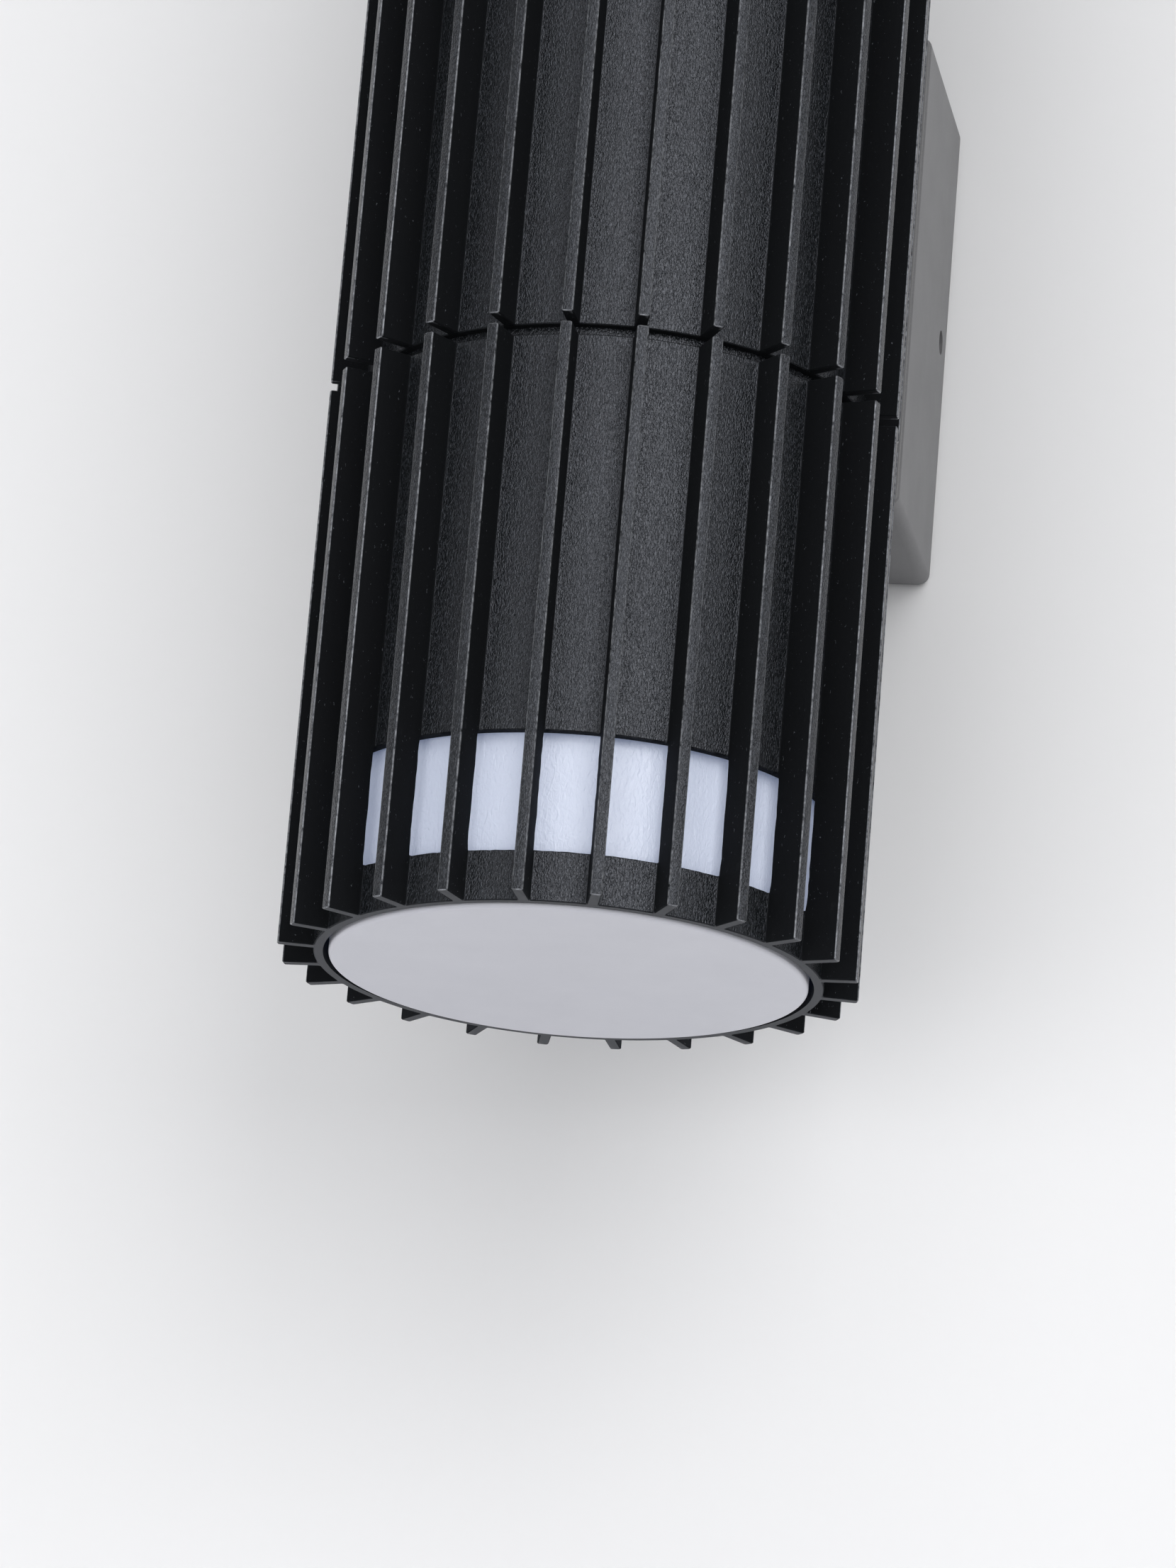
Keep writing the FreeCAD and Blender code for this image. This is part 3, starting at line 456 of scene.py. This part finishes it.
def make_opal(colours):
    """Opal acrylic, satin and faintly uneven. Its side, below the rim, is rippled and painted
    paler and bluer than the face as painted light, and gives off a faint bluish painted glow."""
    tree, shader, place = start_material("opal", Emission_Strength=colours.painted_glow_strength)
    outward = tube_facing(tree, place, radius=1.0)[0]
    # The side's mask carries its painted light, its painted glow and its ripples
    side = number(tree, "MULTIPLY", outward, near_ends(tree, place, -0.001, -0.003))
    face = blend(
        tree, mottle(tree, place, size=0.015), scaled(colours.opal, 0.975), colours.opal)
    ripples = grain(tree, place, size=0.0006, stretch=0.5)["Height"]
    relief = ramp(tree, side, (0.0, 1.0), low=0.05)
    height = number(tree, "MULTIPLY", ripples, relief)
    feed(tree, shader.inputs, {
        "Base Color": blend(tree, side, face, colours.opal_painted_lit_side),
        # Painted glow: the side gives off a faint bluish light of its own
        "Emission Color": blend(tree, side, (0, 0, 0), colours.painted_glow_colour),
        "Roughness": mottle(tree, place, size=0.012, low=0.30, high=0.38),
        "Normal": bump(tree, height, distance=0.00016)})


def make_plain(name, base, roughness, metallic=0.0, size=0.0006, height=0.00001):
    """A plain finish with fine grain, and small changes of colour and gloss."""
    tree, shader, place = start_material(name, Metallic=metallic)
    texture = grain(tree, place, size)
    feed(tree, shader.inputs, {
        "Base Color": blend(tree, texture["Fleck"], scaled(base, 0.88), base),
        "Roughness": mottle(
            tree, place, size=0.01, low=roughness - 0.05, high=roughness + 0.05),
        "Normal": bump(tree, texture["Height"], distance=height)})


def make_backdrop_paint(wall_colour):
    """Matt wall paint, which is clear when it is seen from behind."""
    tree, shader, place = start_material(
        "backdrop_paint", Roughness=0.7, Specular_IOR_Level=0.2)
    roller = grain(tree, place, size=0.003)["Height"]
    feed(tree, shader.inputs, {
        "Base Color": blend(
            tree, mottle(tree, place, size=0.35), scaled(wall_colour, 0.985), wall_colour),
        "Normal": bump(tree, roller, distance=0.00002)})
    surface = node(tree, "ShaderNodeMixShader", {
        "Fac": node(tree, "ShaderNodeNewGeometry").outputs["Backfacing"],
        1: shader.outputs["BSDF"],
        2: node(tree, "ShaderNodeBsdfTransparent").outputs["BSDF"]})
    feed(tree, tree.nodes["Material Output"].inputs, {"Surface": surface.outputs[0]})


# ---------------------------------------------------------------- meshes


def new_object(name, data):
    """Add an object to the scene."""
    made = bpy.data.objects.new(name, data)
    bpy.context.scene.collection.objects.link(made)
    return made


def new_mesh(name, points, faces):
    """Make a mesh from points and faces."""
    mesh = bpy.data.meshes.new(name)
    mesh.from_pydata([tuple(point) for point in points], [], faces)
    return mesh


def show_piece(name, points, faces, material, nodes):
    """Make a mesh piece that rides on the light and stands for CAD nodes."""
    used = sorted({corner for face in faces for corner in face})
    renumbered = {old: new for new, old in enumerate(used)}
    mesh = new_mesh(name, [points[corner] for corner in used],
                    [[renumbered[corner] for corner in face] for face in faces])
    mesh.validate()
    mesh.shade_smooth()
    mesh.set_sharp_from_angle(angle=SHARP_ANGLE)
    mesh.materials.append(material)
    piece = new_object(name, mesh)
    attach(piece, ROOT)
    if nodes:
        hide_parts(*nodes)
    return piece


def head_matrix(side):
    """Where a head's own space lies: the upper head is the lower one turned over."""
    if side == LOWER:
        return Matrix.Translation((0, AXIS_DEPTH, HEAD_LOW.z))
    return Matrix.Translation((0, AXIS_DEPTH, -HEAD_LOW.z)) @ Matrix.Rotation(math.pi, 4, "Y")


class TubeMesh:
    """Points and faces of a finned length, built up from sections and circles."""

    ROOT_STEPS = 3
    EDGE_STEPS = 3
    WALL_STEPS = 10
    # Waves of the uneven coat in a metre
    RAGGED_SCALE = 2300

    def __init__(self, tube):
        self.tube = tube
        self.points = []
        self.faces = []
        self.fin_points = 2 * (self.ROOT_STEPS + 1 + self.EDGE_STEPS + 1)
        self.sector = self.fin_points + self.WALL_STEPS - 1
        self.wall_sector = self.WALL_STEPS + 1

    def fin_outline(self, fin_shrink, wall_shrink):
        """One fin's outline as (outwards, sideways), and the angle that its foot covers."""
        tube = self.tube
        half = tube.fin_width / 2 - fin_shrink
        tip = tube.tip_radius - fin_shrink
        wall = tube.wall_radius - wall_shrink
        foot = half + tube.root_round
        base = math.sqrt(wall ** 2 - foot ** 2)
        outline = []
        for step in range(self.ROOT_STEPS + 1):
            turn = step / self.ROOT_STEPS * math.pi / 2
            outline.append((base + tube.root_round * (1 - math.cos(turn)),
                            tube.root_round * math.sin(turn) - foot))
        for step in range(self.EDGE_STEPS + 1):
            turn = step / self.EDGE_STEPS * math.pi / 2
            outline.append((tip - tube.edge_round * (1 - math.sin(turn)),
                            tube.edge_round * (1 - math.cos(turn)) - half))
        outline += [(out, -aside) for out, aside in reversed(outline)]
        return outline, math.atan2(foot, base)

    def angles(self, foot_angle):
        """Angles of the wall's points, fin by fin: both feet and the points between."""
        pitch = TAU / self.tube.fin_count
        for fin in range(self.tube.fin_count):
            middle = fin * pitch - math.pi / 2
            yield middle - foot_angle
            for step in range(self.WALL_STEPS):
                yield middle + foot_angle + (pitch - 2 * foot_angle) * step / self.WALL_STEPS

    def section(self, z, fin_shrink=0.0, wall_shrink=0.0, seat=None, ragged=0.0):
        """Add the tube's outer outline at a height, and return its first point."""
        first = len(self.points)
        outline, foot_angle = self.fin_outline(fin_shrink, wall_shrink)
        pitch = TAU / self.tube.fin_count
        wall = self.tube.wall_radius - wall_shrink
        for fin in range(self.tube.fin_count):
            middle = fin * pitch - math.pi / 2
            c, s = math.cos(middle), math.sin(middle)
            for out, aside in outline:
                self.points.append(Vector((out * c - aside * s, out * s + aside * c, z)))
            for step in range(1, self.WALL_STEPS):
                turn = middle + foot_angle + (pitch - 2 * foot_angle) * step / self.WALL_STEPS
                self.points.append(Vector((wall * math.cos(turn), wall * math.sin(turn), z)))
        for point in self.points[first:]:
            if seat is not None:
                point.y = min(point.y, seat - fin_shrink)
            if ragged and point.xy.length < self.tube.wall_radius + 2 * self.tube.root_round:
                drift = noise.noise_vector(point * self.RAGGED_SCALE)
                point += Vector((drift.x, drift.y, drift.z)) * ragged
        return first

    def circle(self, z, radius):
        """Add a circle whose points face the wall's points, and return its first point."""
        first = len(self.points)
        _, foot_angle = self.fin_outline(0.0, 0.0)
        for turn in self.angles(foot_angle):
            self.points.append(Vector((radius * math.cos(turn), radius * math.sin(turn), z)))
        return first

    def add_face(self, corners, flip):
        """Add a face, or its other side."""
        self.faces.append(list(reversed(corners)) if flip else list(corners))

    def join(self, first, second, count, flip):
        """Join two closed rows of points by a band of faces."""
        for here in range(count):
            after = (here + 1) % count
            self.add_face([first + here, first + after, second + after, second + here], flip)

    def stack(self, *sections):
        """Join sections, one above the other, by the outside of the tube."""
        for first, second in zip(sections, sections[1:]):
            self.join(first, second, self.sector * self.tube.fin_count, False)

    def band(self, first, second, flip=False):
        """Join two circles."""
        self.join(first, second, self.wall_sector * self.tube.fin_count, flip)

    def wall_points(self, section):
        """The points of a section that lie on the wall, in the order of a circle's."""
        for fin in range(self.tube.fin_count):
            start = section + fin * self.sector
            yield start
            yield from range(start + self.fin_points - 1, start + self.sector)

    def end(self, section, circle, flip, open_fins=False):
        """Close the wall between a section and a circle, with the fins' ends or without."""
        wall = list(self.wall_points(section))
        for here, corner in enumerate(wall):
            after = (here + 1) % len(wall)
            self.add_face([corner, wall[after], circle + after, circle + here], flip)
        root = self.ROOT_STEPS
        for fin in range(self.tube.fin_count):
            start = section + fin * self.sector
            last = start + self.fin_points - 1
            if open_fins:
                corners = [*range(start, start + root + 1), *range(last - root, last + 1)]
            else:
                corners = range(start, last + 1)
            self.add_face(list(corners), flip)

    def bars(self, first, second):
        """Carry only the fins on between two sections, as bars across the windows."""
        root = self.ROOT_STEPS
        for fin in range(self.tube.fin_count):
            start = fin * self.sector
            loop = list(range(start + root, start + self.fin_points - root))
            for here, corner in enumerate(loop):
                after = loop[(here + 1) % len(loop)]
                self.add_face(
                    [first + corner, first + after, second + after, second + corner], False)

    def show(self, name, matrix, material):
        """Show the length in the place of the CAD node of its name."""
        points = [matrix @ point for point in self.points]
        show_piece(f"{name}_coated", points, self.faces, material, [name])


def spread(start, stop, count):
    """Evenly spaced numbers from start to stop, both included."""
    return [start + (stop - start) * step / count for step in range(count + 1)]


def build_head(tube, side, material):
    """A lit length: open end, windows crossed by the fins, and the bore with its shoulder."""
    mesh = TubeMesh(tube)
    bevel, ragged = tube.end_round, tube.ragged
    total = HEAD_HIGH.z - HEAD_LOW.z
    window_end = tube.window_start + tube.window_height
    near = SUPPORT_BEVELS * bevel
    rim = mesh.section(0, bevel, bevel)
    rows = [mesh.section(height) for height in (
        bevel, near, tube.window_start - near, tube.window_start - bevel)]
    sill = mesh.section(tube.window_start, 0, bevel, ragged=ragged)
    mesh.stack(rim, *rows, sill)
    mouth = mesh.circle(0, tube.mouth_radius)
    sill_circle = mesh.circle(tube.window_start, tube.mouth_radius)
    mesh.end(rim, mouth, flip=True)
    mesh.band(mouth, sill_circle, flip=True)
    mesh.end(sill, sill_circle, flip=False, open_fins=True)
    below = sill
    for height in spread(tube.window_start, window_end, WINDOW_ROWS)[1:-1]:
        row = mesh.section(height, ragged=ragged)
        mesh.bars(below, row)
        below = row
    lintel = mesh.section(window_end, 0, bevel, ragged=ragged)
    mesh.bars(below, lintel)
    lintel_circle = mesh.circle(window_end, tube.mouth_radius)
    mesh.end(lintel, lintel_circle, flip=True, open_fins=True)
    rows = [mesh.section(height) for height in (
        window_end + bevel, window_end + near, total - bevel)]
    top = mesh.section(total, bevel, bevel)
    mesh.stack(lintel, *rows, top)
    shoulder = mesh.circle(tube.mouth_depth, tube.mouth_radius)
    step = mesh.circle(tube.mouth_depth, tube.bore_radius)
    bore_end = mesh.circle(total, tube.bore_radius)
    mesh.band(lintel_circle, shoulder, flip=True)
    mesh.band(shoulder, step, flip=True)
    mesh.band(step, bore_end, flip=True)
    mesh.end(top, bore_end, flip=False)
    mesh.show(f"{side}_head_tube", head_matrix(side), material)


def build_middle(tube, material):
    """The middle length: rear fins cut flat, and a collar and a spigot at each end."""
    mesh = TubeMesh(tube)
    bevel, half = tube.end_round, tube.middle_half
    sections = [
        mesh.section(-half, bevel, bevel, tube.seat),
        mesh.section(bevel - half, seat=tube.seat),
        mesh.section(half - bevel, seat=tube.seat),
        mesh.section(half, bevel, bevel, tube.seat),
    ]
    mesh.stack(*sections)
    tip = MIDDLE_HIGH.z
    for up in (False, True):
        sign = 1 if up else -1
        steps = [(half, tube.collar_radius), (tube.collar_half, tube.collar_radius),
                 (tube.collar_half, tube.spigot_radius), (tip, tube.spigot_radius),
                 (tip, tube.middle_bore)]
        circles = [mesh.circle(sign * z, radius) for z, radius in steps]
        mesh.end(sections[-1] if up else sections[0], circles[0], flip=not up)
        for first, second in zip(circles, circles[1:]):
            mesh.band(first, second, flip=not up)
        if up:
            mesh.band(lower_bore, circles[-1], flip=True)
        lower_bore = circles[-1]
    mesh.show(
        "middle_tube", Matrix.Translation((0, AXIS_DEPTH, 0)), material)


def loft(loops, flip=False):
    """Points and faces of a closed shape over loops of as many points each."""
    count = len(loops[0])
    points = [point for loop in loops for point in loop]
    faces = []
    for row in range(len(loops) - 1):
        for here in range(count):
            after = (here + 1) % count
            first, second = row * count, (row + 1) * count
            faces.append([first + here, first + after, second + after, second + here])
    faces.append(list(reversed(range(count))))
    start = (len(loops) - 1) * count
    faces.append(list(range(start, start + count)))
    if flip:
        faces = [list(reversed(face)) for face in faces]
    return points, faces


def build_diffuser(sizes, side, material):
    """An opal cup with a rounded outer edge."""
    radius, depth = sizes.radius, sizes.depth
    edge = sizes.edge_round
    outline = [(radius * part, -sizes.proud) for part in FACE_RINGS]
    for step in range(DIFFUSER_EDGE_STEPS + 1):
        turn = step / DIFFUSER_EDGE_STEPS * math.pi / 2
        outline.append((radius - edge * (1 - math.sin(turn)),
                        edge * (1 - math.cos(turn)) - sizes.proud))
    outline += [(radius, depth * part) for part in SIDE_RINGS]
    inner = radius - sizes.wall
    inside = sizes.floor - sizes.proud
    outline += [(inner, depth), *((inner * part, inside) for part in FLOOR_RINGS)]
    matrix = head_matrix(side)
    turns = [TAU * k / DIFFUSER_SIDES for k in range(DIFFUSER_SIDES)]
    points, faces = loft([
        [matrix @ Vector((out * math.cos(turn), out * math.sin(turn), z)) for turn in turns]
        for out, z in outline])
    name = f"{side}_diffuser"
    show_piece(f"{name}_opal", points, faces, material, [name])


def rounded_rectangle(across, up, corner, y):
    """A closed loop of a rectangle with round corners, at a depth, seen from the front."""
    loop = []
    for quarter, (side_x, side_z) in enumerate(((1, -1), (1, 1), (-1, 1), (-1, -1))):
        for step in range(BOX_CORNER_STEPS + 1):
            turn = (quarter - 1 + step / BOX_CORNER_STEPS) * math.pi / 2
            loop.append(Vector((side_x * (across - corner) + corner * math.cos(turn), y,
                                side_z * (up - corner) + corner * math.sin(turn))))
    return loop


def cut_with(piece, cutter):
    """Cut one mesh out of another for good, and remove the cutter."""
    modifier = piece.modifiers.new("cut", "BOOLEAN")
    modifier.operation = "DIFFERENCE"
    modifier.solver = "EXACT"
    modifier.object = cutter
    graph = bpy.context.evaluated_depsgraph_get()
    cut = bpy.data.meshes.new_from_object(piece.evaluated_get(graph))
    piece.modifiers.clear()
    piece.data = cut
    bpy.data.objects.remove(cutter)
    cut.set_sharp_from_angle(angle=SHARP_ANGLE)


def build_box(sizes, material):
    """The wall box: round long edges, softened front, open back, and a hole in each side."""
    across = (BOX_HIGH.x - BOX_LOW.x) / 2
    up = (BOX_HIGH.z - BOX_LOW.z) / 2
    back, front = BOX_HIGH.y, BOX_LOW.y
    soft, wall, inner_corner = sizes.front_round, sizes.wall, 0.0004
    loops = [
        rounded_rectangle(across - wall, up - wall, inner_corner, front + sizes.front),
        rounded_rectangle(across - wall, up - wall, inner_corner, back),
        rounded_rectangle(across, up, sizes.corner, back),
    ]
    for step in range(BOX_EDGE_STEPS + 1):
        turn = step / BOX_EDGE_STEPS * math.pi / 2
        inset = soft * (1 - math.cos(turn))
        depth = front + soft * (1 - math.sin(turn))
        loops.append(rounded_rectangle(across - inset, up - inset, sizes.corner - inset, depth))
    points, faces = loft(loops, flip=True)
    piece = show_piece("wall_box_coated", points, faces, material, ["wall_box"])
    past_side = across * 1.1
    radius = sizes.hole_radius
    turns = [TAU * k / HOLE_SIDES for k in range(HOLE_SIDES)]
    points, faces = loft([
        [Vector((x, SCREW_DEPTH + radius * math.cos(turn), radius * math.sin(turn)))
         for turn in turns] for x in (-past_side, past_side)])
    cut_with(piece, new_object("side_holes", new_mesh("side_holes", points, faces)))


def build_side_screw(sizes, side, material, nodes):
    """A sunk socket screw in one side of the box."""
    sign = 1 if side == "right" else -1
    outer, shown_length, bevel = SCREWS_HIGH.x, 0.006, 0.0003
    inner = outer - shown_length
    bottom = outer - sizes.socket_depth
    screw, flat = sizes.screw_radius, sizes.screw_socket / 2
    socket_rim = flat * 1.25
    socket_edge, dimple, dimple_depth = 0.0001, 0.0002, 0.0003

    def ring(x, radius=None):
        """A circle round the screw's axis, or the socket's hexagon if no radius is given."""
        loop = []
        for k in range(SCREW_SIDES):
            turn = TAU * k / SCREW_SIDES
            reach = radius
            if reach is None:
                sixth = (turn + math.pi / 6) % (math.pi / 3) - math.pi / 6
                reach = flat / math.cos(sixth)
            loop.append(Vector((sign * x, SCREW_DEPTH + reach * math.cos(turn),
                                reach * math.sin(turn))))
        return loop

    points, faces = loft([
        ring(inner, screw - bevel), ring(inner + bevel, screw), ring(outer - bevel, screw),
        ring(outer, screw - bevel), ring(outer, socket_rim), ring(outer - socket_edge),
        ring(bottom), ring(bottom - dimple_depth, dimple)], flip=sign < 0)
    show_piece(f"box_screw_{side}", points, faces, material, nodes)


# ---------------------------------------------------------------- stage


def show_stage(name, points, faces):
    """Make a mesh that belongs to the stage."""
    mesh = new_mesh(name, points, faces)
    mesh.materials.append(finish("backdrop_paint"))
    new_object(name, mesh)


def build_wall():
    """The wall, with a square hole behind the box, so that the box's back gets light."""
    x, z = BOX_HIGH.x - HOLE_INSET, BOX_HIGH.z - HOLE_INSET
    corners = [(-STAGE_REACH, FLOOR_HEIGHT), (STAGE_REACH, FLOOR_HEIGHT),
               (STAGE_REACH, WALL_TOP), (-STAGE_REACH, WALL_TOP),
               (-x, -z), (x, -z), (x, z), (-x, z)]
    faces = [[k, (k + 1) % 4, (k + 1) % 4 + 4, k + 4] for k in range(4)]
    show_stage("backdrop_wall", [(across, WALL_FACE, up) for across, up in corners], faces)


def build_floor():
    """The floor, well below the light."""
    corners = [(-STAGE_REACH, FLOOR_FRONT), (STAGE_REACH, FLOOR_FRONT),
               (STAGE_REACH, WALL_FACE), (-STAGE_REACH, WALL_FACE)]
    show_stage("backdrop_floor", [(x, y, FLOOR_HEIGHT) for x, y in corners], [[0, 1, 2, 3]])


def add_lamp(name, lamp_setup, power):
    """A square lamp at a place, turned to another place."""
    place, target, size = lamp_setup
    data = bpy.data.lights.new(name, "AREA")
    data.size = size
    data.energy = power
    lamp = new_object(name, data)
    lamp.location = place
    lamp.rotation_mode = "QUATERNION"
    lamp.rotation_quaternion = (Vector(target) - Vector(place)).to_track_quat("-Z", "Y")


def light_room(stage):
    """A pale room and three lamps: high in front, low on the left, in front on the right."""
    scene = bpy.context.scene
    scene.view_settings.view_transform = "Standard"
    scene.world = bpy.data.worlds.new("room")
    scene.world.use_nodes = True
    tree = scene.world.node_tree
    direction = node(tree, "ShaderNodeTexCoord").outputs["Generated"]
    height = node(tree, "ShaderNodeSeparateXYZ", {0: direction}).outputs["Z"]
    feed(tree, tree.nodes["Background"].inputs, {
        "Color": ROOM_COLOUR,
        "Strength": ramp(tree, height, CEILING, stage.room_glow, stage.ceiling_glow)})
    add_lamp("top_lamp", TOP_LAMP, stage.top_light)
    add_lamp("low_lamp", LOW_LAMP, stage.low_light)
    add_lamp("side_lamp", SIDE_LAMP, stage.side_light)


def place_camera(stage):
    """The camera low on the right, looking up at the lower half of the light."""
    yaw, pitch, roll = CAMERA_YAW, CAMERA_PITCH, CAMERA_ROLL
    ahead = Vector((-math.sin(yaw) * math.cos(pitch), math.cos(yaw) * math.cos(pitch),
                    math.sin(pitch)))
    right = Vector((math.cos(yaw), math.sin(yaw), 0))
    over = right.cross(ahead)
    rolled_right = math.cos(roll) * right + math.sin(roll) * over
    rolled_up = math.cos(roll) * over - math.sin(roll) * right
    turn = Matrix((rolled_right, rolled_up, -ahead)).transposed()
    data = bpy.data.cameras.new("camera")
    data.sensor_width = SENSOR_WIDTH
    data.lens = stage.lens
    data.clip_start, data.clip_end = NEAREST, FARTHEST
    camera = new_object("camera", data)
    camera.matrix_world = Matrix.Translation(CAMERA_PLACE) @ turn.to_4x4()
    bpy.context.scene.camera = camera


# ---------------------------------------------------------------- operators


class WALLLIGHT_OT_finishes(bpy.types.Operator):
    """Make the coats, plastics and metals of the light"""

    bl_idname = "wall_light.finishes"
    bl_label = "Finishes"

    def execute(self, context):
        colours = context.scene.wall_light_colours
        make_grain_group()
        make_mottle_group()
        make_facing_group()
        make_tube_coat(colours)
        make_box_coat(colours)
        make_opal(colours)
        make_plain("black_steel", (0.02, 0.02, 0.021), 0.4, 0.6)
        make_plain("zinc_steel", (0.55, 0.56, 0.57), 0.35, 1.0)
        make_plain("plain_aluminium", (0.65, 0.66, 0.67), 0.38, 1.0)
        make_plain("foam", (0.018, 0.018, 0.018), 0.9, size=0.0008, height=0.0001)
        make_plain("terminal_plastic", (0.52, 0.53, 0.52), 0.45)
        make_plain("lead_jacket", (0.62, 0.62, 0.60), 0.5)
        make_plain("driver_case", (0.58, 0.58, 0.57), 0.5)
        make_plain("board_coat", (0.75, 0.75, 0.74), 0.4)
        make_plain("chip_phosphor", (0.80, 0.62, 0.12), 0.3)
        return {"FINISHED"}


class WALLLIGHT_OT_tube(bpy.types.Operator):
    """Build the three finned lengths of the tube"""

    bl_idname = "wall_light.tube"
    bl_label = "Finned tube"

    def execute(self, context):
        tube = context.scene.wall_light_tube
        coat = finish("textured_coat")
        noise.seed_set(NOISE_SEED)
        for side in (LOWER, UPPER):
            build_head(tube, side, coat)
        build_middle(tube, coat)
        return {"FINISHED"}


class WALLLIGHT_OT_diffusers(bpy.types.Operator):
    """Build the opal cups in both ends of the tube"""

    bl_idname = "wall_light.diffusers"
    bl_label = "Diffusers"

    def execute(self, context):
        for side in (LOWER, UPPER):
            build_diffuser(context.scene.wall_light_diffuser, side, finish("opal"))
        return {"FINISHED"}


class WALLLIGHT_OT_wall_box(bpy.types.Operator):
    """Build the wall box and the sunk screws in its sides"""

    bl_idname = "wall_light.wall_box"
    bl_label = "Wall box"

    def execute(self, context):
        sizes = context.scene.wall_light_box
        build_box(sizes, finish("smooth_coat"))
        steel = finish("black_steel")
        build_side_screw(sizes, "right", steel, ["box_side_screws"])
        build_side_screw(sizes, "left", steel, [])
        return {"FINISHED"}


class WALLLIGHT_OT_inner_pieces(bpy.types.Operator):
    """Dress the wall plate, gasket, wiring and lamp pieces inside"""

    bl_idname = "wall_light.inner_pieces"
    bl_label = "Inner pieces"

    def execute(self, context):
        slots = {row["node"]: row["material_slot"] for row in frame["record"]["subparts"]}
        for name, slot in slots.items():
            shown = frame["nodes"][name]
            if not shown.hide_render:
                shown.data.materials.clear()
                shown.data.materials.append(finish(slot))
        return {"FINISHED"}


class WALLLIGHT_OT_stage(bpy.types.Operator):
    """Set up the wall, the floor, the lamps and the camera"""

    bl_idname = "wall_light.stage"
    bl_label = "Stage"

    def execute(self, context):
        stage = context.scene.wall_light_stage
        make_backdrop_paint(stage.wall_colour)
        build_wall()
        build_floor()
        light_room(stage)
        place_camera(stage)
        return {"FINISHED"}


class WALLLIGHT_PT_panel(bpy.types.Panel):
    """Lists the steps that dress the light"""

    bl_label = "Wall light"
    bl_idname = "WALLLIGHT_PT_panel"
    bl_space_type = "VIEW_3D"
    bl_region_type = "UI"
    bl_category = "Wall light"

    def draw(self, context):
        for operator in OPERATORS:
            self.layout.operator(operator.bl_idname)
        for name, group in SETTINGS.items():
            box = self.layout.box()
            box.label(text=group.__doc__)
            for prop in group.__annotations__:
                box.prop(getattr(context.scene, name), prop)


OPERATORS = (
    WALLLIGHT_OT_finishes,
    WALLLIGHT_OT_tube,
    WALLLIGHT_OT_diffusers,
    WALLLIGHT_OT_wall_box,
    WALLLIGHT_OT_inner_pieces,
    WALLLIGHT_OT_stage,
)


def register():
    for group in SETTINGS.values():
        bpy.utils.register_class(group)
    for item in (*OPERATORS, WALLLIGHT_PT_panel):
        bpy.utils.register_class(item)
    for name, group in SETTINGS.items():
        setattr(bpy.types.Scene, name, PointerProperty(type=group))


def unregister():
    for name in SETTINGS:
        delattr(bpy.types.Scene, name)
    for item in (WALLLIGHT_PT_panel, *reversed(OPERATORS)):
        bpy.utils.unregister_class(item)
    for group in reversed(list(SETTINGS.values())):
        bpy.utils.unregister_class(group)


def main():
    """Dress the light step by step."""
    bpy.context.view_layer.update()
    register()
    for operator in OPERATORS:
        module, name = operator.bl_idname.split(".")
        getattr(getattr(bpy.ops, module), name)()


if __name__ == "__main__":
    main()
